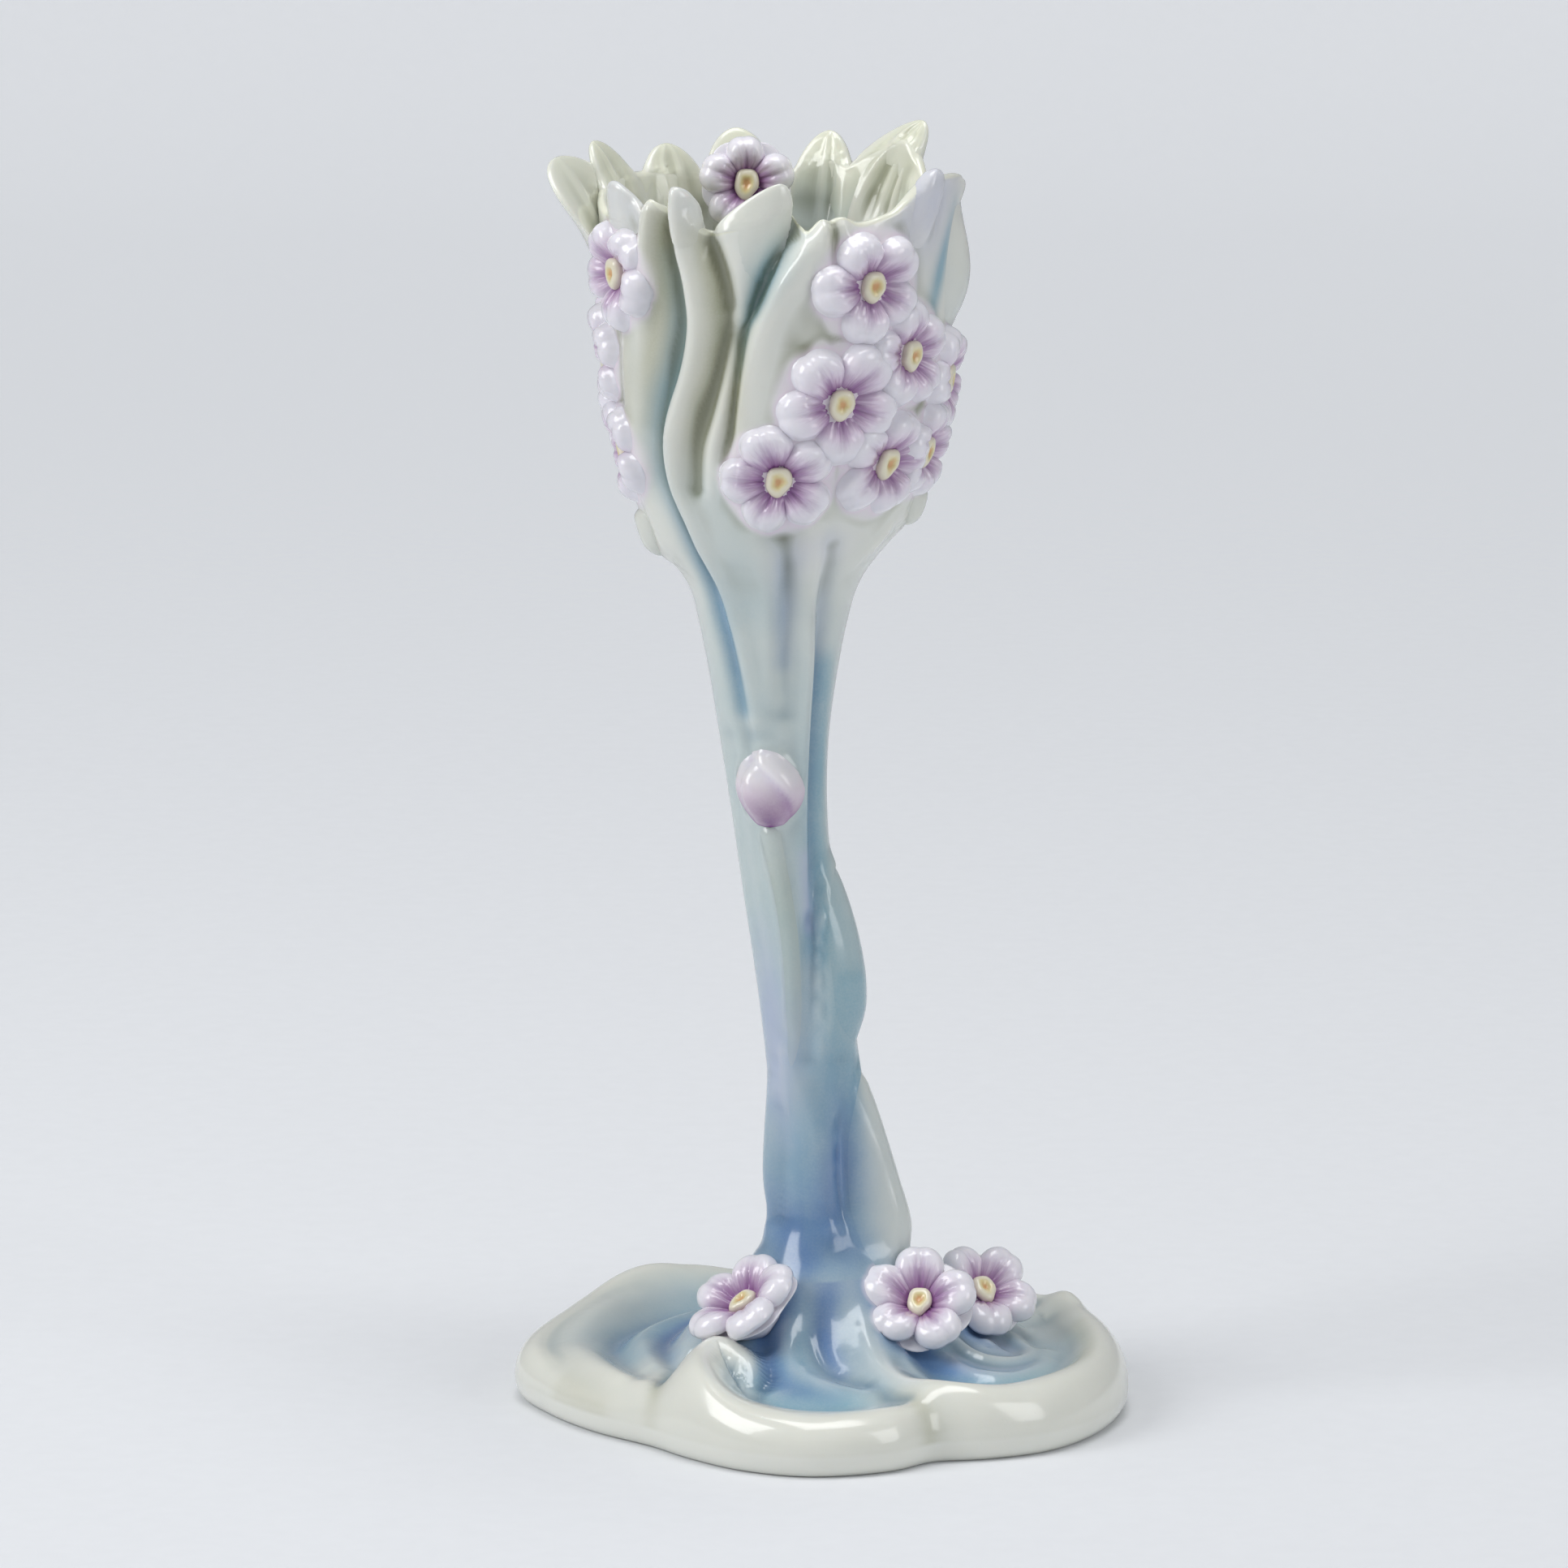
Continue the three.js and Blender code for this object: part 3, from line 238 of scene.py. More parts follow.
def base_height(azimuth, radius):
    """Height of the base's upper side, and the relief of its waves alone."""
    turn = np.radians(azimuth)
    x, y = radius * np.sin(turn), -radius * np.cos(turn)
    inset = outline_radius(azimuth) - radius
    rim = BASE_RIM_HEIGHT + around(BASE_RIM_RISE, azimuth)
    roll = np.where(inset < RIM_ROUNDING, 1, np.exp(-(((inset - RIM_ROUNDING) / RIM_FALL) ** 2)))
    mound = (STEM_FOOT - BASE_FLOOR_HEIGHT) * np.exp(-np.maximum(radius - FOOT_RADIUS, 0) / MOUND_FALL)
    waves = smoothstep(*WAVES_BEGIN, radius) * brush(WAVES, x, y)
    height = BASE_FLOOR_HEIGHT + (rim - BASE_FLOOR_HEIGHT) * roll + mound + waves
    edge = np.clip(inset / RIM_ROUNDING, 0, 1)
    return BASE_EQUATOR + (height - BASE_EQUATOR) * np.sqrt(1 - (1 - edge) ** 2), waves


# %% [markdown]
# Stem and cup are one flowing form: a radius about a leaning axis. Every stroke on it has its points in
# degrees round the axis and millimetres up, so a fold runs on from the cup into the stem without a break.

# %% Stem and cup: sizes
STEM_RADIUS = 7.8
NECK_RADIUS = 13.1
STEM_LEAN = -8.1
CUP_RADIUS = 29.9
CUP_FLOOR_RISE = 20.0
CUP_FLOOR_RADIUS = 19.5
CUP_WALL = 3.2
RIM_WALL = 1.8
WALL_THINS_FROM, WALL_THINS_OVER = 0.6, 0.4  # shares of the cup's height
FOOT_END = 0.11  # the stem is wider below this share of its length
NECK_START, NECK_SPAN, NECK_POWER = 0.58, 0.42, 2.1  # and widens again from here up to the cup
CUP_BLEND = 3.0  # stem and bowl merge this far on both sides of their joint
FOLDS_FADE = 5.0  # the folds begin over this height of the stem
LEAN_CURVE = [
    (-0.2, 0), (0, 0), (0.1, 0.01), (0.2, 0.06), (0.3, 0.17), (0.4, 0.33), (0.5, 0.53), (0.6, 0.74),
    (0.7, 0.89), (0.8, 0.98), (0.9, 1), (1, 1), (1.1, 0.95), (1.25, 0.88), (1.6, 0.92), (1.8, 0.95),
]
BOWL_CURVE = [
    (0, 0), (0.03, 0.035), (0.074, 0.11), (0.118, 0.22), (0.176, 0.37), (0.25, 0.506), (0.324, 0.613),
    (0.412, 0.72), (0.5, 0.8), (0.618, 0.863), (0.765, 0.91), (0.912, 0.958), (1, 1), (1.18, 1.1),
]
CUP_FLOWERS = {  # azimuth, t, radius, turn of the first gap
    "right_top": (31, 0.835, 9.6, 10), "right_middle": (48, 0.655, 9, 30), "right_large": (21, 0.55, 10.4, 0),
    "right_low": (0, 0.36, 9.2, 20), "right_lower": (43, 0.39, 9.2, 50), "right_side": (80, 0.57, 9, 15),
    "right_side_low": (67, 0.4, 8, 40), "left_top": (-63, 0.845, 9.2, 5), "left_middle": (-88, 0.62, 8.6, 30),
    "left_side": (-112, 0.79, 8.6, 50), "left_low": (-82, 0.385, 9, 10), "left_lower": (-108, 0.46, 8.4, 35),
}
BED_HEIGHT = 0.9  # the wall is raised under the flowers
BED_EDGE = (1.16, 0.86)  # shares of a flower's radius between which its bed rises
BED_CALM = 0.6  # share of the folds that the bed takes away
RIM_WAVE = [
    (-165, 1.5), (-155, 0.8), (-125, 2.5), (-92, 0.5), (-72, -1), (-62, -1), (-51, -0.6), (-43, 3.2),
    (-37, 0.6), (-31, 2), (-25, -2), (-16, -1.5), (-6, 0.5), (3, 2), (9, -1.4), (14, 1), (17.3, 0.2),
    (21, 0.9), (27, -0.6), (36, 0.2), (41, 1), (46, 2.8), (51, 4.6), (57, 5.6), (64, 5.6), (72, 5.4),
    (80, 5.2), (86, 4.6), (91, 2.4), (100, 1), (118, 1.6), (126, 4.6), (133, 7.4), (141, 6), (149, 4.2),
    (155, 2.4), (162, 3.6), (175, 0.5),
]
# Folds (azimuth, z, half-width, height), front ones first
FOLDS = [
    [(-41.8, 208, 2.2, 2), (-45.6, 201, 2.4, 2.1), (-49.7, 194, 2.6, 2), (-56, 187, 2.8, 2),
     (-61, 180, 3, 1.9), (-64, 173, 3, 1.8), (-66, 166, 3, 1.6), (-69, 158, 3, 1.2), (-68, 150, 3, 0.8)],
    [(-36.8, 209, 1.6, -2), (-37.8, 201.5, 1.9, -2.8), (-36, 195, 2.2, -3), (-36, 188, 2.5, -3.1),
     (-40.2, 181, 2.6, -3.1), (-48, 174, 2.6, -2.9), (-52.4, 167, 2.5, -2.7), (-53, 160, 2.3, -2.5),
     (-49, 153, 2.2, -2.2), (-47, 146, 2, -1.9), (-45, 140, 2, -1.7), (-40, 132, 2, -1.5),
     (-35, 125, 2, -1.3), (-31, 119, 2, -1.2), (-28, 113, 1.6, -0.8)],
    [(-31.1, 212, 2, 2.2), (-31.4, 202, 2.2, 2.6), (-29.3, 195, 2.5, 2.6), (-28.3, 188.4, 2.8, 2.6),
     (-31, 181.5, 2.9, 2.5), (-36.5, 174.5, 2.9, 2.4), (-43, 167.3, 2.8, 2.3), (-45.5, 160, 2.6, 2),
     (-42, 153, 2.5, 1.7), (-38, 146, 2.4, 1.4), (-32, 139, 2.3, 1.2), (-26, 131, 2, 1),
     (-20, 120, 2, 0.9)],
    [(-25, 208, 1.5, -1.8), (-22, 202, 1.8, -2.2), (-18, 195.3, 2, -2.2), (-17, 188.6, 2.2, -2.2),
     (-20, 181.8, 2.2, -2.1), (-25, 174.9, 2.1, -1.8), (-31.5, 167.8, 2, -1.4), (-34.5, 160.7, 1.8, -1)],
    [(-12.5, 189, 1.8, 0.9), (-15.8, 182, 2, 1.3), (-19.5, 175, 2.2, 1.4), (-24.5, 168, 2.4, 1.1),
     (-28.5, 161, 2.4, 0.7)],
    [0.4, (11, 211, 4.6, -2.2), (6.5, 205, 4.4, -3), (2, 201, 3.8, -3.5), (-2.5, 197, 3.2, -3.5),
     (-7, 192, 2.6, -3.2), (-11, 188, 1.8, -2.8), (-13.3, 182, 1.6, -2.2), (-15.6, 175, 1.6, -1.8),
     (-19, 166, 2, -1)],
    [2.8, (14.5, 208, 1.3, 1.6), (10.9, 204.6, 1.4, 2), (7.1, 201, 1.5, 2.3), (2.6, 197, 1.5, 2.4),
     (-1.7, 192.5, 1.5, 2.2), (-6.4, 186.5, 1.6, 1.9), (-9.4, 180, 1.8, 1.6), (-13, 168, 2.2, 0.9)],
    [(14.5, 208, 1.2, 1), (15, 204, 1.2, 0.9), (14.5, 198, 1.2, 0.5)],
    [(17.6, 208, 0.8, -0.9), (18, 204, 0.9, -0.7), (17.5, 198, 1, -0.3)],
    [(21, 208, 1.2, 1.1), (21.5, 204, 1.2, 0.6)],
    [(26, 195, 9, 0.9), (38, 186, 9, 1), (28, 173, 10, 1.2), (12, 162, 8, 1)],
    [(88, 215, 4, 3.4), (86, 210, 3.6, 1.8), (82, 205, 3, 0.1)],
    [(62, 186, 10, 0.4), (62, 172, 10, 0.2), (58, 161, 8, 0.6)],
    [(-76, 195, 8, 0.6), (-88, 179, 9, -0.4), (-86, 165, 8, 0.2), (-90, 157, 6, 0.8)],
    [(-52, 208, 1.8, -1.4), (-54, 196, 1.9, -1.4), (-58, 184, 2.2, -1.2), (-64, 172, 2.2, -0.8)],
    [(-86, 154, 4, 1.2), (-85, 148, 3.6, 1.8), (-84, 145, 3, 0.6)],
    [(80, 161, 5, 0.8), (80, 155, 4.5, 1.6), (80, 151, 4, 0.6)],
    [(66, 158, 2, 0.2), (60, 151, 2, 0.9), (52, 147, 2, 0.3)],
    [(2, 154, 2, -0.8), (7, 147, 2, -1.4), (9, 139, 1.9, -1.4), (9, 130, 1.9, -1.1), (12, 121, 1.8, -0.6)],
    [(-8, 152, 2.6, 0.5), (-2, 143, 2.4, 0.8), (0, 134, 2.2, 0.7), (0, 124, 2.2, 0.5)],
    [(16, 153, 2.2, 0.9), (22, 145, 2, 1.3), (27, 138, 1.7, 1.5), (32, 130, 1.5, 1.8), (34, 120, 1.5, 1.7),
     (35, 108, 1.5, 1.4), (31, 97, 1.6, 1), (24, 88, 1.8, 0.6)],
    [(30, 150, 2, -0.8), (38, 140, 2, -1.3), (44, 128, 2, -1.7), (48, 116, 2, -1.8), (45, 104, 2, -1.7),
     (38, 93, 2, -1.6), (26, 83, 2.1, -1.4), (8, 72, 2.2, -1), (-4, 62, 2.2, -0.6)],
    [(-58, 116, 3, -0.7), (-60, 96, 3, -0.8), (-56, 76, 3, -0.8), (-50, 62, 3, -0.5)],
    [(-70, 58, 4, 0), (-78, 47, 4, 1.6), (-84, 39, 4, 2), (-80, 32, 3, 1)],
    [(-30, 62, 2.5, 0.8), (-12, 52, 3, 1.4), (6, 42, 3, 1.3), (14, 33, 3, 1)],
    [(-52, 52, 2.6, -0.6), (-56, 43, 2.6, -1.1), (-58, 34, 2.6, -0.8)],
    [(40, 60, 3, -0.8), (36, 48, 3, -1.8), (32, 39, 3.2, -2), (24, 31, 3.4, -0.9), (16, 26, 3.4, -0.2)],
    [(110, 206, 2.5, 1.6), (112, 192, 2.8, 1.8), (118, 179, 3, 1.7), (116, 165, 3, 1.3),
     (120, 152, 2.6, 0.9), (124, 138, 2.2, 0.3)],
    [(124, 206, 2, -1.6), (126, 192, 2.2, -1.8), (130, 179, 2.4, -1.8), (128, 165, 2.4, -1.6),
     (130, 145, 2, -1.2), (128, 132, 2, -0.9), (135, 110, 2, -1), (150, 81, 2, -1), (165, 58, 2, -0.8)],
    [(140, 206, 2.6, 1.6), (140, 192, 3, 1.8), (142, 179, 3, 1.6), (140, 165, 3, 1.2), (142, 152, 2.6, 1),
     (150, 132, 2.5, 1), (165, 115, 2.5, 1.2), (180, 92, 2.5, 1), (195, 70, 2.5, 1), (200, 47, 2.5, 0.8)],
    [(155, 206, 2, -1.6), (156, 189, 2.2, -1.8), (152, 172, 2.4, -1.6), (154, 152, 2, -1.2),
     (158, 140, 1.8, -0.6), (160, 128, 1.6, -0.1)],
    [(172, 206, 3, 1.6), (170, 192, 3.4, 1.8), (168, 179, 3.2, 1.6), (166, 165, 3, 1.2),
     (168, 152, 2.6, 0.9), (170, 138, 2.4, 0.5), (171, 124, 2, 0.1)],
    [(190, 206, 2, -1.6), (186, 192, 2.2, -1.8), (182, 179, 2.4, -1.7), (180, 165, 2.4, -1.5),
     (182, 147, 2, -1.1), (182, 134, 1.8, -0.6), (183, 120, 1.6, -0.1)],
    [(206, 206, 2.8, 1.6), (203, 192, 3, 1.8), (200, 179, 3, 1.7), (196, 165, 3, 1.3), (196, 152, 2.6, 0.9),
     (195, 138, 2.4, 0.5), (194, 124, 2, 0.1)],
    [(222, 206, 2, -1.6), (219, 192, 2.2, -1.8), (217, 179, 2.4, -1.7), (212, 162, 2.4, -1.5),
     (210, 147, 2, -1.1), (208, 134, 1.8, -0.6), (206, 120, 1.6, -0.1)],
    [(238, 206, 2.6, 1.5), (236, 192, 2.8, 1.7), (234, 179, 2.8, 1.5), (228, 165, 2.6, 1.2),
     (222, 152, 2.4, 0.8), (218, 138, 2, 0.2)],
]


# %% Stem and cup: surface
def axis_x(z):
    return STEM_LEAN * along(LEAN_CURVE, (z - STEM_FOOT) / STEM_LENGTH)


def bowl_radius(z):
    return NECK_RADIUS + (CUP_RADIUS - NECK_RADIUS) * along(BOWL_CURVE, (z - CUP_FOOT) / CUP_HEIGHT)


def smooth_radius(z):
    t = (z - STEM_FOOT) / STEM_LENGTH
    foot = (FOOT_RADIUS - STEM_RADIUS) * np.clip(1 - t / FOOT_END, 0, 1) ** 2
    neck = (NECK_RADIUS - STEM_RADIUS) * np.clip((t - NECK_START) / NECK_SPAN, 0, 1) ** NECK_POWER
    stem = STEM_RADIUS + foot + neck
    blend = smoothstep(CUP_FOOT - CUP_BLEND, CUP_FOOT + CUP_BLEND, z)
    return stem + (bowl_radius(z) - stem) * blend


def flower_bed(azimuth, z):
    """1 under the flowers of the cup, falling to 0 just outside their petals."""
    azimuth, z = np.broadcast_arrays(azimuth, z)
    bed = np.zeros(z.shape)
    for place, t, radius, _ in CUP_FLOWERS.values():
        height = CUP_FOOT + t * CUP_HEIGHT
        across = np.radians(np.mod(azimuth - place + 180, 360) - 180) * bowl_radius(height)
        bed = np.maximum(bed, smoothstep(*BED_EDGE, np.hypot(across, z - height) / radius))
    return bed


def body_radius(azimuth, z, bed_height=0.0):
    """Outer radius of stem and cup, folds included."""
    smooth = smooth_radius(z)
    folds = brush(FOLDS, azimuth, z, np.radians(smooth), wrap=True)
    bed = flower_bed(azimuth, z)
    folds = folds * smoothstep(STEM_FOOT, STEM_FOOT + FOLDS_FADE, z) * (1 - BED_CALM * bed)
    return smooth + folds + bed_height * bed


def wall_thickness(z):
    k = np.clip((z - CUP_FOOT) / CUP_HEIGHT - WALL_THINS_FROM, 0, WALL_THINS_OVER) / WALL_THINS_OVER
    return CUP_WALL + (RIM_WALL - CUP_WALL) * k


def rim_height(azimuth):
    return RIM_Z + around(RIM_WAVE, azimuth)


def polar(azimuth, radius, z, x=0.0):
    turn = np.radians(azimuth)
    return np.stack(np.broadcast_arrays(x + radius * np.sin(turn), -radius * np.cos(turn), z), axis=-1)


def circle(count, sweep=-360):
    """Directions round a section, in radians, as a row."""
    return np.radians(np.linspace(0, sweep, count, endpoint=False))[None, :]


# %% [markdown]
# A grid of rows and columns becomes a closed mesh: the columns join round, and a point in the middle closes
# each end. Base, stem and cup come from one long grid, so their normals agree where the pieces meet, and
# the joints vanish under the glaze as they do on the real one.

# %% Grids to meshes
def grid_normals(points):
    """Unit normals of a grid whose columns join round, pointing out for rows that run upwards."""
    across = np.roll(points, -1, axis=1) - np.roll(points, 1, axis=1)
    rows = np.gradient(points, axis=0)
    normal = np.cross(across, rows)
    length = np.linalg.norm(normal, axis=-1, keepdims=True)
    return normal / np.maximum(length, 1e-12)


GRID_SHAPES = {}  # rows and columns by mesh name


def grid_faces(count, sides):
    """Corners of the quads between the rows and of the triangles at both ends, and the faces' sizes."""
    rows, columns = np.meshgrid(np.arange(count - 1), np.arange(sides), indexing="ij")
    after = (columns + 1) % sides
    low, high = rows * sides, (rows + 1) * sides
    quads = np.stack([low + columns, low + after, high + after, high + columns], axis=-1)
    columns, after = columns[0], after[0]
    first = np.stack([after, columns, np.full(sides, count * sides)], axis=-1)
    top = (count - 1) * sides
    last = np.stack([top + columns, top + after, np.full(sides, count * sides + 1)], axis=-1)
    sizes = np.concatenate([np.full(quads.size // 4, 4), np.full(2 * sides, 3)])
    return np.concatenate([quads.ravel(), first.ravel(), last.ravel()]), sizes


def grid_mesh(name, points, masks=None, normals=None):
    """Closed mesh of a grid in millimetres, with the masks as point attributes."""
    count, sides = points.shape[:2]
    GRID_SHAPES[name] = (count, sides)
    ends = points[[0, -1]].mean(axis=1)
    vertices = np.concatenate([points.reshape(-1, 3), ends]) * MM
    corners, sizes = grid_faces(count, sides)
    mesh = bpy.data.meshes.new(name)
    mesh.vertices.add(len(vertices))
    mesh.vertices.foreach_set("co", vertices.ravel())
    mesh.loops.add(len(corners))
    mesh.loops.foreach_set("vertex_index", corners.astype(np.int32))
    mesh.polygons.add(len(sizes))
    mesh.polygons.foreach_set("loop_start", np.concatenate([[0], np.cumsum(sizes)[:-1]]).astype(np.int32))
    mesh.polygons.foreach_set("use_smooth", np.ones(len(sizes), bool))
    mesh.update(calc_edges=True)
    for mask, values in (masks or {}).items():
        layer = mesh.attributes.new(mask, "FLOAT", "POINT")
        values = np.broadcast_to(values, (count, sides))
        flat = np.concatenate([values.ravel(), values[[0, -1]].mean(axis=1)])
        layer.data.foreach_set("value", flat.astype(np.float32))
    if normals is not None:
        flat = np.concatenate([normals.reshape(-1, 3), [[0, 0, -1], [0, 0, 1]]])
        mesh.normals_split_custom_set_from_vertices([tuple(n) for n in flat])
    return mesh


def add_object(name, data):
    """New object in the scene."""
    made = bpy.data.objects.new(name, data)
    bpy.context.scene.collection.objects.link(made)
    return made


def link(name, mesh, material, slot, *nodes):
    """Puts a finished mesh into the scene as the piece that stands for its nodes."""
    piece = add_object(name, mesh)
    mesh.materials.clear()
    mesh.materials.append(material)
    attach(piece, "root")
    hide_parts(*nodes)


def link_grid(name, points, masks, hollow, material, slot):
    """The same for a grid and its masks, for the node of the same name."""
    link(name + "_glazed", grid_mesh(name, points, {**masks, "hollow": hollow}), material, slot, name)


# %% [markdown]
# The colours are soluble stains sprayed on the biscuit, under a clear glaze, so they have cloudy edges,
# they are strongest in the hollows and they never hide the white body. The khaki is painted shade: it is
# sprayed the same way, dark along the grooves and in the creases where shade falls. A shader node group
# sprays one stain: it takes the colour so far, the stain and a mask, and breaks the mask up with noise. The
# masks are painted on the mesh by the same strokes that model it.

# %% Colours of the stains and of the painted shade
def rgb(red, green, blue):
    """Linear colour of an sRGB one in 0 to 255."""
    channels = [v / 255 for v in (red, green, blue)]
    return tuple(v / 12.92 if v <= 0.04045 else ((v + 0.055) / 1.055) ** 2.4 for v in channels) + (1.0,)


IVORY = rgb(224, 226, 218)
LEAF_YELLOW = rgb(227, 229, 206)
# painted shade: the khaki laid along grooves and in creases, and the default colour of the pooled shade
KHAKI_AND_SHADE = rgb(160, 160, 124)
TEAL = rgb(142, 178, 190)
BLUE = rgb(98, 132, 180)
LAVENDER = rgb(188, 190, 222)
PETAL_WHITE = rgb(236, 233, 240)
PETAL_PINK = rgb(216, 182, 214)
BED_PINK = rgb(231, 217, 231)
VIOLET = rgb(122, 44, 134)
BUTTON_CREAM = rgb(234, 228, 204)
BUTTON_YELLOW = rgb(226, 212, 160)
BUTTON_ORANGE = rgb(216, 168, 116)
BUTTON_RING = rgb(124, 92, 136)
THIN_GLAZE = rgb(250, 248, 238)  # over the crests


# %% Node helpers
class Wires:
    """Adds nodes to a tree. What goes into a node is a number, a colour or another node's output."""

    def __init__(self, tree):
        self.nodes, self.links = tree.nodes, tree.links

    def feed(self, socket, value):
        if isinstance(value, bpy.types.NodeSocket):
            self.links.new(value, socket)
        else:
            socket.default_value = value

    def add(self, kind, inputs=(), **settings):
        """A node with its settings, and with its inputs by name or by place."""
        node = self.nodes.new(kind)
        for label, value in settings.items():
            setattr(node, label, value)
        for label, value in dict(inputs).items():
            self.feed(node.inputs[label], value)
        return node

    def math(self, operation, *values, clamp=False):
        return self.add("ShaderNodeMath", enumerate(values), operation=operation, use_clamp=clamp).outputs[0]

    def mix(self, factor, first, second, mode="MIX"):
        colours = {0: factor, 6: first, 7: second}
        return self.add("ShaderNodeMix", colours, data_type="RGBA", blend_type=mode).outputs[2]

    def noise(self, scale, detail, roughness, place):
        inputs = {"Vector": place, "Scale": scale, "Detail": detail, "Roughness": roughness}
        return self.add("ShaderNodeTexNoise", inputs).outputs["Fac"]

    def step(self, value, low, high, start=0.0, end=1.0, curve="SMOOTHSTEP"):
        """Goes from start to end while the value goes from low to high."""
        inputs = {"Value": value, "From Min": low, "From Max": high, "To Min": start, "To Max": end}
        return self.add("ShaderNodeMapRange", inputs, interpolation_type=curve).outputs[0]

    def place(self):
        return self.add("ShaderNodeTexCoord").outputs["Object"]

    def mask(self, name):
        return self.add("ShaderNodeAttribute", attribute_name=name).outputs["Fac"]

    def group(self, tree, **values):
        """A group with its inputs by name, an underscore standing for a space."""
        node = self.add("ShaderNodeGroup", node_tree=tree)
        for label, value in values.items():
            self.feed(node.inputs[label.replace("_", " ")], value)
        return node.outputs


def add_sockets(tree, inputs, outputs):
    """Named sockets of a group: inputs (name, type, default) and outputs (name, type)."""
    for label, kind, default in inputs:
        socket = tree.interface.new_socket(name=label, in_out="INPUT", socket_type=kind)
        if default is not None:
            socket.default_value = default
    for label, kind in outputs:
        tree.interface.new_socket(name=label, in_out="OUTPUT", socket_type=kind)
    wires = Wires(tree)
    return wires, wires.add("NodeGroupInput").outputs, wires.add("NodeGroupOutput").inputs


COLOUR, VALUE = "NodeSocketColor", "NodeSocketFloat"


# %% The group that sprays a stain
# The same group also sprays the khaki, which is painted shade in the grooves and creases.
def build_spray():
    """Lays a stain over a colour where the mask is, broken up by clouds and by fine grain."""
    group = bpy.data.node_groups.new("Sprayed stain", "ShaderNodeTree")
    wires, enter, leave = add_sockets(
        group,
        [("Under", COLOUR, IVORY), ("Stain", COLOUR, TEAL), ("Mask", VALUE, 0.0), ("Strength", VALUE, 1.0),
         ("Cloud Scale", VALUE, 110.0), ("Cloud Amount", VALUE, 0.5)],
        [("Colour", COLOUR), ("Coverage", VALUE)])
    place = wires.place()
    cloud = wires.noise(enter["Cloud Scale"], 4, 0.55, place)
    speck = wires.noise(2600.0, 1, 0.5, place)
    swing = wires.math("MULTIPLY", wires.math("SUBTRACT", cloud, 0.5), enter["Cloud Amount"])
    grain = wires.math("MULTIPLY", wires.math("SUBTRACT", speck, 0.5), 0.22)
    gain = wires.math("ADD", wires.math("ADD", swing, grain), 1.0)
    cover = wires.math("MULTIPLY", enter["Mask"], gain)
    cover = wires.math("MULTIPLY", cover, enter["Strength"], clamp=True)
    wires.feed(leave["Colour"], wires.mix(cover, enter["Under"], enter["Stain"]))
    wires.feed(leave["Coverage"], cover)
    return group


# %% The group that pools the glaze and paints shade in the hollows
def build_pooling_and_shade():
    """Glaze runs off the crests and pools in the hollows, where it looks deeper and is painted dark as shade.
    """
    group = bpy.data.node_groups.new("Pooled glaze", "ShaderNodeTree")
    wires, enter, leave = add_sockets(
        group,
        [("Colour", COLOUR, IVORY), ("Hollow", VALUE, 0.0), ("Pool", COLOUR, KHAKI_AND_SHADE), ("Depth", VALUE, 0.6),
         ("Crest", VALUE, 0.25)],
        [("Colour", COLOUR)])
    hollow = wires.math("MAXIMUM", enter["Hollow"], 0.0)
    crest = wires.math("MAXIMUM", wires.math("MULTIPLY", enter["Hollow"], -1.0), 0.0)
    # painted shade: the pool colour is multiplied in, the more the deeper the hollow
    deep = wires.math("MULTIPLY", hollow, enter["Depth"], clamp=True)
    light = wires.math("MULTIPLY", crest, enter["Crest"], clamp=True)
    pooled_shade = wires.mix(deep, enter["Colour"], enter["Pool"], "MULTIPLY")
    wires.feed(leave["Colour"], wires.mix(light, pooled_shade, THIN_GLAZE))
    return group


# %% The group that makes the glaze's skin
def build_skin():
    """Fired glaze is slightly wavy, with fine pits, and a little less glossy here and there."""
    group = bpy.data.node_groups.new("Glaze skin", "ShaderNodeTree")
    wires, enter, leave = add_sockets(
        group,
        [("Wave Scale", VALUE, 420.0), ("Wave", VALUE, 0.7), ("Pits", VALUE, 0.3), ("Gloss", VALUE, 0.12)],
        [("Height", VALUE), ("Roughness", VALUE)])
    place = wires.place()
    wave = wires.noise(enter["Wave Scale"], 2, 0.45, place)
    cells = wires.add("ShaderNodeTexVoronoi", {"Scale": 900, "Vector": place})
    pit = wires.step(cells.outputs["Distance"], 0.05, 0.16, curve="LINEAR")
    waved = wires.math("MULTIPLY", wave, enter["Wave"])
    pitted = wires.math("MULTIPLY", pit, enter["Pits"])
    wires.feed(leave["Height"], wires.math("ADD", waved, pitted))
    dull = wires.math("MULTIPLY", wires.noise(60.0, 3, 0.6, place), 0.12)
    wires.feed(leave["Roughness"], wires.math("ADD", dull, enter["Gloss"]))
    return group


SPRAY, POOLING_AND_SHADE, SKIN = build_spray(), build_pooling_and_shade(), build_skin()
print("groups", [g.name for g in (SPRAY, POOLING_AND_SHADE, SKIN)])


# %% A glazed finish
GLAZE = {"IOR": 1.5, "Coat Weight": 0.5, "Coat Roughness": 0.06, "Subsurface Weight": 0.12,
         "Subsurface Radius": (1.0, 0.8, 0.6), "Subsurface Scale": 0.002}
SKIN_BUMP = {"Strength": 0.12, "Distance": 0.0003}


def new_material(name):
    material = bpy.data.materials.new(name)
    material.use_nodes = True
    return material, Wires(material.node_tree)


def finish_shader(material, wires, colour):
    """Ends a material: glaze skin, and a clear glossy coat over a slightly translucent body."""
    skin = wires.group(SKIN)
    bump = wires.add("ShaderNodeBump", {**SKIN_BUMP, "Height": skin["Height"]})
    inputs = {**GLAZE, "Base Color": colour, "Normal": bump.outputs[0], "Roughness": skin["Roughness"]}
    for label, value in inputs.items():
        wires.feed(wires.nodes["Principled BSDF"].inputs[label], value)
    return material


